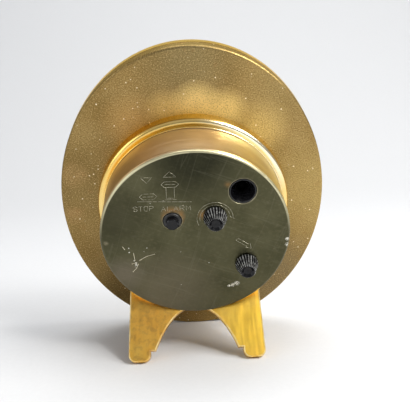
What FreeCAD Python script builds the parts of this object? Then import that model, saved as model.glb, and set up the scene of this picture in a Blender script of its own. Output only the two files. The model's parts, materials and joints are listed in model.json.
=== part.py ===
import FreeCAD, Part
import Sketcher
import math
import os

# Desk clock with calendar and alarm, in millimetres.
# An upright oval brass disc holds the dial. A round drum behind it holds a quartz
# alarm movement, and a two-legged bracket under the drum leans the clock back.
#
# Every piece is drawn in clock coordinates. x runs to the right and y up as seen from
# behind, z runs backwards along the drum, and z = 0 is the back face of the disc.
# One placement then leans the clock back and stands it on the ground at z = 0.

doc = FreeCAD.newDocument("DeskClock")
sheet = doc.addObject("Spreadsheet::Sheet", "Dims")


class Size:
    """A size with its value and the sheet expression that gives it."""

    def __init__(self, value, text):
        self.value = float(value)
        self.text = text

    def __add__(self, other):
        return Size(self.value + number(other), f"({self.text} + {words(other)})")

    def __radd__(self, other):
        return Size(number(other) + self.value, f"({words(other)} + {self.text})")

    def __sub__(self, other):
        return Size(self.value - number(other), f"({self.text} - {words(other)})")

    def __rsub__(self, other):
        return Size(number(other) - self.value, f"({words(other)} - {self.text})")

    def __mul__(self, other):
        return Size(self.value * number(other), f"({self.text} * {words(other)})")

    def __rmul__(self, other):
        return Size(number(other) * self.value, f"({words(other)} * {self.text})")

    def __truediv__(self, other):
        return Size(self.value / number(other), f"({self.text} / {words(other)})")

    def __neg__(self):
        return Size(-self.value, f"(0 - {self.text})")


def sine(angle):
    return Size(math.sin(math.radians(number(angle))), f"sin({words(angle)} * 1 deg)")


def cosine(angle):
    return Size(math.cos(math.radians(number(angle))), f"cos({words(angle)} * 1 deg)")


def number(size):
    return size.value if isinstance(size, Size) else float(size)


def words(size):
    return size.text if isinstance(size, Size) else repr(float(size))


sheet_row = 0


def dim(name, value, note):
    """Writes one driving size to the sheet and returns it."""
    global sheet_row
    sheet_row += 1
    sheet.set(f"A{sheet_row}", name)
    sheet.set(f"B{sheet_row}", repr(float(value)))
    sheet.setAlias(f"B{sheet_row}", name)
    sheet.set(f"C{sheet_row}", note)
    return Size(value, f"Dims.{name}")


# Stance
lean = dim("lean", 20.3, "angle that the clock leans back, in degrees")

# Oval disc: a rear dish and a front bezel that meet at a seam
disc_half_width = dim("disc_half_width", 46.5, "half the width of the disc")
disc_half_height = dim("disc_half_height", 56.3, "half the height of the disc")
dish_depth = dim("dish_depth", 4.0, "height of the rear dish's side")
dish_wall = dim("dish_wall", 1.2, "wall of the rear dish's back")
dish_side = dim("dish_side", 2.2, "wall of the rear dish's side")
dish_round = dim("dish_round", 0.8, "rounding of the dish's back edge")
bezel_depth = dim("bezel_depth", 4.0, "depth of the front bezel")
bezel_width = dim("bezel_width", 11.5, "width of the bezel's frame")
bezel_round = dim("bezel_round", 1.2, "rounding of the bezel's front edges")
seam_gap = dim("seam_gap", 0.15, "depth of the groove at the seam")
seam_height = dim("seam_height", 0.35, "height of the groove at the seam")

# Glass and dial
lip_depth = dim("lip_depth", 1.4, "depth of the bezel's lip in front of the crystal")
crystal_seat = dim("crystal_seat", 1.6, "how far the crystal reaches under the lip")
crystal_thickness = dim("crystal_thickness", 1.5, "thickness of the crystal")
gasket_thickness = dim("gasket_thickness", 0.5, "thickness of the crystal gasket")
dial_thickness = dim("dial_thickness", 0.8, "thickness of the dial")
dial_hole = dim("dial_hole", 2.0, "radius of the dial's middle hole")
fit_gap = dim("fit_gap", 0.1, "gap round pieces that drop into a seat")
marker_length = dim("marker_length", 4.0, "length of an hour marker")
marker_width = dim("marker_width", 0.9, "width of an hour marker")
marker_height = dim("marker_height", 0.35, "height of an hour marker")
quarter_length = dim("quarter_length", 5.6, "length of the markers at 12, 3, 6 and 9")
quarter_width = dim("quarter_width", 1.35, "width of the markers at 12, 3, 6 and 9")
marker_inset = dim("marker_inset", 1.6, "gap from the opening to an hour marker")
window_width = dim("window_width", 4.4, "width of the date window")
window_height = dim("window_height", 3.4, "height of the date window")

# Drum, its collar and its back cap
drum_radius = dim("drum_radius", 31.0, "outer radius of the drum")
drum_wall = dim("drum_wall", 1.2, "wall of the drum")
drum_length = dim("drum_length", 22.5, "length of the drum behind the disc")
cap_thickness = dim("cap_thickness", 1.2, "thickness of the back cap")
cap_round = dim("cap_round", 0.6, "rounding of the back cap's edge")
cap_seam = dim("cap_seam", 0.2, "bevel on each side of the seam between drum and cap")
cap_ledge = dim("cap_ledge", 0.9, "width of the ledge inside the drum, under the cap")
cap_ledge_depth = dim("cap_ledge_depth", 1.2, "depth of that ledge")
collar_width = dim("collar_width", 2.4, "how far the collar stands out from the drum")
collar_height = dim("collar_height", 4.9, "height of the collar")
collar_round = dim("collar_round", 1.5, "rounding of the collar")
collar_gap = dim("collar_gap", 0.1, "gap between the collar and the drum")
step_width = dim("step_width", 0.5, "how far the collar's step stands out from the drum")
step_height = dim("step_height", 1.7, "height of that step behind the collar")
step_round = dim("step_round", 0.2, "rounding of that step")

# Controls on the back cap
setting_x = dim("setting_x", 6.44, "hand setting knob, sideways")
setting_y = dim("setting_y", 7.38, "hand setting knob, upwards")
alarm_x = dim("alarm_x", 16.8, "alarm knob, sideways")
alarm_y = dim("alarm_y", -11.3, "alarm knob, upwards")
button_x = dim("button_x", -7.3, "stop button, sideways")
button_y = dim("button_y", 6.5, "stop button, upwards")
corrector_angle = dim("corrector_angle", 46.81, "direction of the date corrector, in degrees")
corrector_inset = dim("corrector_inset", 4.4, "gap from the corrector's cup to the drum's edge")
knob_base = dim("knob_base", 3.8, "radius of a knob at its base")
knob_tip = dim("knob_tip", 2.6, "radius of a knob at its tip")
knob_height = dim("knob_height", 4.7, "height of a knob")
knob_collar = dim("knob_collar", 0.7, "height of the plain band at a knob's base")
knob_dish = dim("knob_dish", 0.9, "depth of the hollow in a knob's end")
tip_round = dim("tip_round", 0.5, "rounding of a knob's tip and of the button's bush")
hollow_radius = dim("hollow_radius", 1.4, "radius at which that hollow grows shallow")
knob_gap = dim("knob_gap", 0.35, "gap between a knob and the back cap")
knob_flutes = 24
flute_share = 0.28
hollow_share = 0.75
button_radius = dim("button_radius", 2.05, "radius of the stop button")
button_travel = dim("button_travel", 2.2, "travel of the stop button")
button_proud = dim("button_proud", 2.6, "height of the stop button when up")
button_bevel = dim("button_bevel", 0.3, "bevel of the button's and the pusher's end")
bush_radius = dim("bush_radius", 2.9, "outer radius of the button's bush")
bush_length = dim("bush_length", 4.0, "length of the button's bush")
bush_flange = dim("bush_flange", 0.9, "width of the flange behind the cap")
bush_proud = dim("bush_proud", 0.6, "height of the bush above the cap")
hole_bevel = dim("hole_bevel", 0.3, "bevel of the cap's holes for the bush and the cup")
cup_radius = dim("cup_radius", 4.25, "radius of the corrector's cup at its mouth")
cup_depth = dim("cup_depth", 4.6, "depth of the corrector's cup")
cup_wall = dim("cup_wall", 0.7, "wall of the corrector's cup")
pusher_radius = dim("pusher_radius", 1.0, "radius of the corrector's pusher")
pusher_rod = dim("pusher_rod", 0.7, "radius of the corrector's rod")
pusher_travel = dim("pusher_travel", 1.5, "travel of the corrector")
pusher_proud = dim("pusher_proud", 0.6, "height of the pusher above the cup's floor")
shoulder_height = dim("shoulder_height", 0.8, "height of the pusher's shoulder")

# Foot bracket
leg_splay = dim("leg_splay", 40.0, "angle of the legs below the drum's axis, in degrees")
leg_lap = dim("leg_lap", 0.4, "how far the plate starts behind the back cap")
leg_thickness = dim("leg_thickness", 3.0, "thickness of the bracket's plate")
leg_top_half = dim("leg_top_half", 22.4, "half width of the plate at its top")
leg_foot_half = dim("leg_foot_half", 23.6, "half width of the plate at its feet")
leg_top = dim("leg_top", 19.0, "length of the plate above the drum's edge")
leg_shift = dim("leg_shift", -0.8, "how far the legs sit to the left of the middle")
arch_half = dim("arch_half", 20.7, "half width of the oval whose top cuts the arch")
arch_rise = dim("arch_rise", 53.5, "half height of the oval whose top cuts the arch")
arch_centre = dim("arch_centre", 51.3, "centre of that oval below the drum's edge")
toe_height = dim("toe_height", 3.6, "height of the toe below its step")
toe_inner = dim("toe_inner", 16.0, "inner half width at the toe")
toe_round = dim("toe_round", 2.4, "rounding of the toe's corners")
sole_cut = dim("sole_cut", 0.35, "how much the ground plane shaves off the legs")
saddle_thickness = dim("saddle_thickness", 1.8, "thickness of the bracket's saddle")
saddle_start = dim("saddle_start", 7.0, "front end of the saddle")
saddle_end = dim("saddle_end", 21.0, "back end of the saddle")
saddle_angle = dim("saddle_angle", 42.0, "half angle of the saddle, in degrees")
bracket_screw_angle = dim("bracket_screw_angle", 20.0, "screws from the middle, in degrees")
edge_bevel = dim("edge_bevel", 0.5, "bevel of the bracket's plate")

# Movement
main_plate_front = dim("main_plate_front", 3.0, "front face of the main plate")
main_plate_thickness = dim("main_plate_thickness", 1.5, "thickness of the main plate")
bridge_front = dim("bridge_front", 12.5, "front face of the rear bridge")
bridge_thickness = dim("bridge_thickness", 1.5, "thickness of the rear bridge")
bridge_radius = dim("bridge_radius", 25.5, "outer radius of the rear bridge")
bridge_cut = dim("bridge_cut", -11.2, "straight side of the rear bridge")
pillar_radius = dim("pillar_radius", 1.7, "radius of a pillar")
gear_thickness = dim("gear_thickness", 0.5, "thickness of a wheel")
level_pitch = dim("level_pitch", 1.0, "distance from one wheel to the next")
running_gap = dim("running_gap", 0.05, "gap between a shaft and its hole, on the radius")
seconds_shaft = dim("seconds_shaft", 0.35, "radius of the seconds arbor")
tube_wall = dim("tube_wall", 0.3, "wall of the tubes that carry the hands")
stem_radius = dim("stem_radius", 1.0, "radius of a knob's stem")
pivot_radius = dim("pivot_radius", 0.5, "radius of a wheel's arbor")
rotor_pivot = dim("rotor_pivot", 0.4, "radius of the rotor's arbor")
plate_seat = dim("plate_seat", 0.8, "how far an arbor reaches into the main plate")
bridge_seat = dim("bridge_seat", 1.0, "how far an arbor reaches into the rear bridge")
hand_thickness = dim("hand_thickness", 0.3, "thickness of a hand")
hand_pitch = dim("hand_pitch", 0.75, "distance from one hand to the next")
hand_start = dim("hand_start", 0.45, "gap between the dial and the alarm hand")
minute_length = dim("minute_length", 30.0, "length of the minute hand")
hour_length = dim("hour_length", 20.5, "length of the hour hand")
seconds_length = dim("seconds_length", 31.0, "length of the seconds hand")
alarm_length = dim("alarm_length", 13.0, "length of the alarm hand")
date_outer = dim("date_outer", 25.0, "outer radius of the date ring")
date_inner = dim("date_inner", 19.5, "inner radius of the date ring's teeth")
date_root = dim("date_root", 20.6, "root radius of the date ring's teeth")
date_thickness = dim("date_thickness", 0.6, "thickness of the date ring")
spacer_inner = dim("spacer_inner", 23.6, "inner radius of the movement spacer")
date_gap = dim("date_gap", 0.2, "gap between the dial and the date ring")
ring_gap = dim("ring_gap", 0.3, "gap round the date ring and at the pusher")
battery_radius = dim("battery_radius", 6.0, "radius of the battery")
battery_length = dim("battery_length", 30.2, "length of the battery")
battery_x = dim("battery_x", -18.4, "battery, sideways")
cradle_height = dim("cradle_height", 4.5, "height of the battery's cradle")
coil_radius = dim("coil_radius", 2.4, "radius of the motor's coil")
coil_length = dim("coil_length", 13.0, "length of the motor's coil")
board_thickness = dim("board_thickness", 0.8, "thickness of the circuit board")
buzzer_radius = dim("buzzer_radius", 8.5, "radius of the buzzer")
buzzer_height = dim("buzzer_height", 2.4, "height of the buzzer")
screw_radius = dim("screw_radius", 0.8, "radius of a small screw")
screw_head = dim("screw_head", 1.6, "radius of a small screw's head")
screw_head_height = dim("screw_head_height", 1.0, "height of a small screw's head")
screw_slot = dim("screw_slot", 0.35, "width and depth of a screw's slot")
screw_reach = dim("screw_reach", 0.5, "how far a bracket screw reaches into the drum")
screw_end_gap = dim("screw_end_gap", 1.0, "gap from a bridge screw to the main plate")

# Wheels: the tooth counts of a quartz movement with a 1:30 motor train
rotor_teeth, intermediate_teeth = 8, 48
intermediate_pinion, seconds_teeth = 8, 40
seconds_pinion, third_teeth = 8, 60
third_pinion, centre_teeth = 8, 64
cannon_teeth, minute_teeth = 12, 36
minute_pinion, hour_teeth = 10, 40
date_pinion, date_drive_teeth = 16, 32
alarm_pinion, idler_teeth, alarm_teeth = 13, 25, 40
date_teeth = 31

# Tooth form: heights in modules, and half the tip's width as a share of the step
tooth_tip, tooth_root, tip_share = 0.75, 1.05, 0.1

# Places along the clock's axis that several pieces share
dish_front = -dish_depth
bezel_front = dish_front - bezel_depth
crystal_front = bezel_front + lip_depth
crystal_back = crystal_front + crystal_thickness
gasket_back = crystal_back + gasket_thickness
dial_back = -dish_wall
dial_front = dial_back - dial_thickness
cap_front = drum_length
cap_back = drum_length + cap_thickness
main_plate_back = main_plate_front + main_plate_thickness
bridge_back = bridge_front + bridge_thickness
knob_front = cap_back + knob_gap
opening_half_width = disc_half_width - bezel_width
opening_half_height = disc_half_height - bezel_width
date_front = dial_back + date_gap
date_back = date_front + date_thickness


def front_level(index):
    """Front face of a wheel before the main plate: 1 is next to the dial, 4 the last."""
    return main_plate_front - (5 - index) * level_pitch


def back_level(index):
    """Front face of a wheel behind the main plate, counted from 1."""
    return main_plate_back + 0.5 * level_pitch + (index - 1) * level_pitch


# Helpers for sketches and features

parts = []
edge_slack = 0.1  # room for an edge that is found by where it lies
same = 0.01  # lengths nearer than this count as equal


def add_part(thing, label, x=0.0, y=0.0, turn=0.0):
    """Lists a finished piece with its place in clock coordinates."""
    thing.Label = label
    parts.append((thing, number(x), number(y), number(turn)))
    return thing


def bind(thing, path, size):
    if isinstance(size, Size):
        thing.setExpression(path, size.text)


def new_body(label):
    return doc.addObject("PartDesign::Body", label)


def new_sketch(body, role, height=None):
    sketch = body.newObject("Sketcher::SketchObject", f"{body.Name}_sketch")
    plane = [o for o in body.Origin.OriginFeatures if o.Role == role][0]
    sketch.AttachmentSupport = [(plane, "")]
    sketch.MapMode = "FlatFace"
    if height is not None:
        sketch.AttachmentOffset = FreeCAD.Placement(
            FreeCAD.Vector(0, 0, number(height)), FreeCAD.Rotation()
        )
        bind(sketch, ".AttachmentOffset.Base.z", height)
    return sketch


def constrain(sketch, kind, *ends, size):
    index = sketch.addConstraint(Sketcher.Constraint(kind, *ends, number(size)))
    bind(sketch, f"Constraints[{index}]", size)


def draw_outline(sketch, points):
    """A closed outline of straight lines whose corners are held by sizes."""
    first = sketch.GeometryCount
    count = len(points)
    corners = [FreeCAD.Vector(number(x), number(y), 0) for x, y in points]
    for i in range(count):
        sketch.addGeometry(Part.LineSegment(corners[i], corners[(i + 1) % count]), False)
    for i in range(count):
        after = first + (i + 1) % count
        sketch.addConstraint(Sketcher.Constraint("Coincident", first + i, 2, after, 1))
    for i, (x, y) in enumerate(points):
        constrain(sketch, "DistanceX", -1, 1, first + i, 1, size=x)
        constrain(sketch, "DistanceY", -1, 1, first + i, 1, size=y)


def draw_circle(sketch, radius, x=0.0, y=0.0):
    centre = FreeCAD.Vector(number(x), number(y), 0)
    normal = FreeCAD.Vector(0, 0, 1)
    index = sketch.addGeometry(Part.Circle(centre, normal, number(radius)), False)
    constrain(sketch, "Radius", index, size=radius)
    constrain(sketch, "DistanceX", -1, 1, index, 3, size=x)
    constrain(sketch, "DistanceY", -1, 1, index, 3, size=y)


def draw_oval(sketch, half_width, half_height):
    """An upright oval round the clock's axis."""
    top = FreeCAD.Vector(0, number(half_height), 0)
    side = FreeCAD.Vector(number(half_width), 0, 0)
    index = sketch.addGeometry(Part.Ellipse(top, side, FreeCAD.Vector(0, 0, 0)), False)
    sketch.exposeInternalGeometry(index)
    sketch.addConstraint(Sketcher.Constraint("Coincident", index, 3, -1, 1))
    sketch.addConstraint(Sketcher.Constraint("Vertical", index + 1))
    constrain(sketch, "Distance", index + 1, size=2 * half_height)
    constrain(sketch, "Distance", index + 2, size=2 * half_width)


def pad(body, sketch, length, backwards=False):
    feature = body.newObject("PartDesign::Pad", f"{body.Name}_pad")
    feature.Profile = sketch
    feature.Length = number(length)
    bind(feature, "Length", length)
    feature.Reversed = backwards
    sketch.Visibility = False
    return feature


def pocket(body, sketch, length, backwards=False):
    """Cuts along -z of the sketch, or along +z if backwards, and tests that it cut."""
    doc.recompute()
    before = body.Shape.Volume
    feature = body.newObject("PartDesign::Pocket", f"{body.Name}_pocket")
    feature.Profile = sketch
    feature.Length = number(length)
    bind(feature, "Length", length)
    feature.Reversed = backwards
    doc.recompute()
    if not body.Shape.Volume < before:
        raise RuntimeError(f"a pocket of {body.Name} cuts nothing")
    return feature


def revolve(body, sketch):
    feature = body.newObject("PartDesign::Revolution", f"{body.Name}_turning")
    feature.Profile = sketch
    feature.ReferenceAxis = (sketch, ["V_Axis"])
    feature.Angle = 360.0
    return feature


def round_edges(body, size, pick, kind="PartDesign::Fillet"):
    """Rounds or bevels the edges that pick chooses by their shape."""
    doc.recompute()
    names = [f"Edge{i + 1}" for i, e in enumerate(body.Shape.Edges) if pick(e)]
    if not names:
        raise RuntimeError(f"no edge to round on {body.Name}")
    base = body.Tip
    feature = body.newObject(kind, f"{body.Name}_edges")
    feature.Base = (base, names)
    path = "Radius" if kind.endswith("Fillet") else "Size"
    setattr(feature, path, number(size))
    bind(feature, path, size)
    return feature


def flat_at(z, reach=0.0):
    """Picks edges that lie in the plane z and pass further out than reach."""
    level, far = number(z), number(reach)

    def pick(edge):
        box = edge.BoundBox
        if abs(box.ZMin - level) > 1e-4 or abs(box.ZMax - level) > 1e-4:
            return False
        return max(abs(box.XMin), abs(box.XMax), abs(box.YMin), abs(box.YMax)) > far

    return pick


def oval_at(z, half_height):
    """Picks the oval edge of that half height in the plane z."""

    def pick(edge):
        if not flat_at(z)(edge) or not isinstance(edge.Curve, Part.Ellipse):
            return False
        sizes = (edge.Curve.MajorRadius, edge.Curve.MinorRadius)
        return min(abs(size - number(half_height)) for size in sizes) < same

    return pick


def circle_at(z, radius):
    """Picks the circular edge of that radius in the plane z."""

    def pick(edge):
        if not flat_at(z)(edge) or not isinstance(edge.Curve, Part.Circle):
            return False
        return abs(edge.Curve.Radius - number(radius)) < same

    return pick


def drilled(label, body, holes):
    """A body with round holes. Each hole is a radius, a start, an end, all in clock space."""
    tools = []
    for i, (radius, start, end) in enumerate(holes):
        tool = doc.addObject("Part::Cylinder", f"{label}_hole_{i}")
        tool.Radius = number(radius)
        bind(tool, "Radius", radius)
        tool.Height = (end - start).Length
        turn = FreeCAD.Rotation(FreeCAD.Vector(0, 0, 1), end - start)
        tool.Placement = FreeCAD.Placement(start, turn)
        tools.append(tool)
    group = doc.addObject("Part::Compound", f"{label}_holes")
    group.Links = tools
    piece = doc.addObject("Part::Cut", f"{label}_drilled")
    piece.Base = body
    piece.Tool = group
    return add_part(piece, label)


def turned_body(name, points):
    """A body turned about its own z axis from an outline of radius and height."""
    body = new_body(name)
    sketch = new_sketch(body, "XZ_Plane")
    draw_outline(sketch, points)
    revolve(body, sketch)
    return body


def turned(label, points, x=0.0, y=0.0, turn=0.0):
    return add_part(turned_body(label, points), label, x, y, turn)


def rod(radius, low, high, x=0.0, y=0.0):
    """A plain cylinder from low to high."""
    place = FreeCAD.Vector(number(x), number(y), number(low))
    return Part.makeCylinder(number(radius), number(high) - number(low), place)


def tube(inner, outer, low, high, x=0.0, y=0.0):
    return rod(outer, low, high, x, y).cut(rod(inner, low - 1, high + 1, x, y))


def block(x_low, x_high, y_low, y_high, z_low, z_high):
    corner = FreeCAD.Vector(number(x_low), number(y_low), number(z_low))
    return Part.makeBox(
        number(x_high) - number(x_low),
        number(y_high) - number(y_low),
        number(z_high) - number(z_low),
        corner,
    )


def join(first, *others):
    return first.fuse(list(others)).removeSplitter()


def shaped(label, shape, x=0.0, y=0.0, turn=0.0):
    """A piece whose shape is made by a formula, such as a toothed wheel."""
    piece = doc.addObject("Part::Feature", label)
    piece.Shape = shape
    return add_part(piece, label, x, y, turn)


def star(teeth, tip, root, root_share, low, depth, phase):
    """A toothed disc with straight flanks. root_share is half a tooth's share of its step."""
    step = 2 * math.pi / teeth
    tooth = ((root, -root_share), (tip, -tip_share), (tip, tip_share), (root, root_share))
    corners = []
    for i in range(teeth):
        for radius, share in tooth:
            angle = phase + (i + share) * step
            x, y = number(radius) * math.cos(angle), number(radius) * math.sin(angle)
            corners.append(FreeCAD.Vector(x, y, number(low)))
    face = Part.Face(Part.makePolygon(corners + corners[:1]))
    return face.extrude(FreeCAD.Vector(0, 0, number(depth)))


def toothed(teeth, pitch_radius, low, phase):
    """A wheel's disc. Its teeth are trapezoids with room to run, phase in radians."""
    module = 2 * pitch_radius / teeth
    tip = pitch_radius + tooth_tip * module
    root = pitch_radius - tooth_root * module
    return star(teeth, tip, root, 0.25, low, gear_thickness, phase)


def mesh_phase(phase, teeth, next_teeth, direction):
    """Phase of the next wheel, which lies in that direction, so that both are in mesh."""
    offset = (phase - direction) * teeth / next_teeth
    return direction + math.pi - math.pi / next_teeth - offset


def direction(start, end):
    return math.atan2(end[1] - start[1], end[0] - start[0])


def beside(start, distance, degrees):
    """The point at that distance and direction from start."""
    angle = math.radians(degrees)
    return start[0] + distance * math.cos(angle), start[1] + distance * math.sin(angle)


# Rear dish: the oval plate that the back view shows, with a side wall towards the front
body = new_body("rear_plate")
sketch = new_sketch(body, "XY_Plane")
draw_oval(sketch, disc_half_width, disc_half_height)
pad(body, sketch, dish_depth, backwards=True)
sketch = new_sketch(body, "XY_Plane", dish_front)
draw_oval(sketch, disc_half_width - dish_side, disc_half_height - dish_side)
pocket(body, sketch, dish_depth - dish_wall, backwards=True)
sketch = new_sketch(body, "XY_Plane")
draw_circle(sketch, date_outer + ring_gap)
pocket(body, sketch, dish_wall)
round_edges(body, dish_round, oval_at(0.0, disc_half_height))
add_part(body, "rear_plate")

# Front bezel: an oval frame with a lip that holds the crystal
body = new_body("front_bezel")
sketch = new_sketch(body, "XY_Plane", dish_front)
draw_oval(sketch, disc_half_width, disc_half_height)
draw_oval(sketch, opening_half_width, opening_half_height)
pad(body, sketch, bezel_depth, backwards=True)
seat_half_width = opening_half_width + crystal_seat + fit_gap
seat_half_height = opening_half_height + crystal_seat + fit_gap
sketch = new_sketch(body, "XY_Plane", dish_front)
draw_oval(sketch, seat_half_width, seat_half_height)
pocket(body, sketch, bezel_depth - lip_depth)
sketch = new_sketch(body, "XY_Plane", dish_front)
draw_oval(sketch, disc_half_width + seam_height, disc_half_height + seam_height)
draw_oval(sketch, disc_half_width - seam_gap, disc_half_height - seam_gap)
pocket(body, sketch, seam_height)
round_edges(body, bezel_round, oval_at(bezel_front, disc_half_height))
round_edges(body, lip_depth / 2, oval_at(bezel_front, opening_half_height))
add_part(body, "front_bezel")

# Crystal: an oval pane, its gasket and the reflector ring that presses both forward
pane_half_width = opening_half_width + crystal_seat
pane_half_height = opening_half_height + crystal_seat
body = new_body("crystal")
sketch = new_sketch(body, "XY_Plane", crystal_front)
draw_oval(sketch, pane_half_width, pane_half_height)
pad(body, sketch, crystal_thickness)
add_part(body, "crystal")


def oval_ring(label, width, low, high):
    """A flat ring that fills the crystal's seat, width wide."""
    body = new_body(label)
    sketch = new_sketch(body, "XY_Plane", low)
    draw_oval(sketch, pane_half_width, pane_half_height)
    draw_oval(sketch, pane_half_width - width, pane_half_height - width)
    pad(body, sketch, high - low)
    return add_part(body, label)


oval_ring("crystal_gasket", crystal_seat, crystal_back, gasket_back)
oval_ring("reflector_ring", crystal_seat, gasket_back, dial_front)

# Dial: an oval plate on the dish's back, with a window for the date
body = new_body("dial")
sketch = new_sketch(body, "XY_Plane", dial_front)
dial_half_width = disc_half_width - dish_side - fit_gap
dial_half_height = disc_half_height - dish_side - fit_gap
draw_oval(sketch, dial_half_width, dial_half_height)
draw_circle(sketch, dial_hole)
window_middle = -(date_outer + date_root) / 2
window_left = window_middle - window_width / 2
window_right = window_middle + window_width / 2
draw_outline(
    sketch,
    [
        (window_left, -window_height / 2),
        (window_right, -window_height / 2),
        (window_right, window_height / 2),
        (window_left, window_height / 2),
    ],
)
pad(body, sketch, dial_thickness)
add_part(body, "dial")

# Hour markers: twelve batons whose outer ends follow the oval opening
markers = []
for hour in range(12):
    angle = math.radians(30 * hour)
    ray_x, ray_y = -math.sin(angle), math.cos(angle)
    track_x = number(opening_half_width - marker_inset)
    track_y = number(opening_half_height - marker_inset)
    reach = 1 / math.hypot(ray_x / track_x, ray_y / track_y)
    length = number(quarter_length if hour % 3 == 0 else marker_length)
    width = number(quarter_width if hour % 3 == 0 else marker_width)
    marker = Part.makeBox(
        width,
        length,
        number(marker_height),
        FreeCAD.Vector(-width / 2, reach - length, number(dial_front - marker_height)),
    )
    marker.rotate(FreeCAD.Vector(0, 0, 0), FreeCAD.Vector(0, 0, 1), 30 * hour)
    markers.append(marker)
shaped("hour_markers", Part.makeCompound(markers))

# Drum: a tube whose back end has a ledge inside that carries the back cap
drum_bore = drum_radius - drum_wall
ledge_bore = drum_bore - cap_ledge
ledge_front = drum_length - cap_ledge_depth
drum = turned_body(
    "drum_tube",
    [
        (drum_bore, 0.0),
        (drum_radius, 0.0),
        (drum_radius, drum_length - cap_seam),
        (drum_radius - cap_seam, drum_length),
        (ledge_bore, drum_length),
        (ledge_bore, ledge_front),
        (drum_bore, ledge_front - cap_ledge),
    ],
)

# Collar: the polished ring between the disc and the drum, with a low step behind it
collar_radius = drum_radius + collar_width
step_radius = drum_radius + step_width
step_back = collar_height + step_height
collar = turned(
    "collar_ring",
    [
        (drum_radius + collar_gap, 0.0),
        (collar_radius, 0.0),
        (collar_radius, collar_height),
        (step_radius, collar_height),
        (step_radius, step_back),
        (drum_radius + collar_gap, step_back),
    ],
)
round_edges(collar, collar_round, circle_at(collar_height, collar_radius))
round_edges(collar, step_round, circle_at(step_back, step_radius))

# Back cap: a lid over the drum's whole end, with holes for the controls
corrector_reach = drum_radius - cup_radius - corrector_inset
corrector_x = corrector_reach * cosine(corrector_angle)
corrector_y = corrector_reach * sine(corrector_angle)
body = new_body("rear_cap")
sketch = new_sketch(body, "XY_Plane", cap_front)
draw_circle(sketch, drum_radius)
draw_circle(sketch, stem_radius + running_gap, setting_x, setting_y)
draw_circle(sketch, stem_radius + running_gap, alarm_x, alarm_y)
draw_circle(sketch, bush_radius, button_x, button_y)
draw_circle(sketch, cup_radius, corrector_x, corrector_y)
pad(body, sketch, cap_thickness)


def seat_hole(edge):
    """Picks the back edges of the wide holes in the cap."""
    return circle_at(cap_back, bush_radius)(edge) or circle_at(cap_back, cup_radius)(edge)


round_edges(body, hole_bevel, seat_hole, "PartDesign::Chamfer")
round_edges(body, cap_seam, circle_at(cap_front, drum_radius), "PartDesign::Chamfer")
round_edges(body, cap_round, circle_at(cap_back, drum_radius))
add_part(body, "rear_cap")


# Knobs: tapered, with a plain band at the base, flutes and a hollow end
def fluted_knob(label, x, y):
    body = new_body(f"{label}_blank")
    sketch = new_sketch(body, "XZ_Plane")
    top = knob_front + knob_height
    draw_outline(
        sketch,
        [
            (0.0, knob_front),
            (knob_base, knob_front),
            (knob_base, knob_front + knob_collar),
            (knob_tip, top - tip_round / 2),
            (knob_tip - tip_round / 2, top),
            (knob_tip - tip_round, top),
            (hollow_radius, top - hollow_share * knob_dish),
            (0.0, top - knob_dish),
        ],
    )
    revolve(body, sketch)
    sketch = new_sketch(body, "XY_Plane", knob_front)
    draw_circle(sketch, stem_radius)
    pocket(body, sketch, knob_height / 2, backwards=True)
    doc.recompute()
    solid = body.Shape.copy()
    base, tip = number(knob_base), number(knob_tip)
    flute = flute_share * 2 * math.pi * base / knob_flutes
    low, high = number(knob_front + knob_collar), number(top)
    cutters = []
    for i in range(knob_flutes):
        angle = 2 * math.pi * i / knob_flutes
        ray = FreeCAD.Vector(math.cos(angle), math.sin(angle), 0)
        start = ray * base + FreeCAD.Vector(0, 0, low)
        end = ray * tip + FreeCAD.Vector(0, 0, high)
        cutters.append(Part.makeCylinder(flute, (end - start).Length + 1, start, end - start))
    piece = doc.addObject("Part::Feature", f"{label}_fluted")
    piece.Shape = solid.cut(cutters)
    return add_part(piece, label, x, y)


fluted_knob("hand_setting_knob", setting_x, setting_y)
fluted_knob("alarm_setting_knob", alarm_x, alarm_y)

# Stop button in its bush: up lets the alarm ring, pressed stops it
bush_back = cap_back + bush_proud
turned(
    "button_bush",
    [
        (button_radius + running_gap, cap_front - bush_length + cap_thickness),
        (bush_radius, cap_front - bush_length + cap_thickness),
        (bush_radius, cap_front - bush_flange),
        (bush_radius + bush_flange, cap_front - bush_flange),
        (bush_radius + bush_flange, cap_front),
        (bush_radius, cap_front),
        (bush_radius, bush_back - tip_round / 2),
        (bush_radius - tip_round / 2, bush_back),
        (button_radius + running_gap, bush_back),
    ],
    button_x,
    button_y,
)
leaf_thickness = dim("leaf_thickness", 0.25, "thickness of the alarm contact's leaf")
leaf_back = bridge_back + leaf_thickness
button_end = leaf_back + ring_gap + button_travel
button_top = cap_back + button_proud
turned(
    "stop_alarm_button",
    [
        (0.0, button_end),
        (button_radius, button_end),
        (button_radius, button_top - button_bevel),
        (button_radius - button_bevel, button_top),
        (0.0, button_top),
    ],
    button_x,
    button_y,
)

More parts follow.
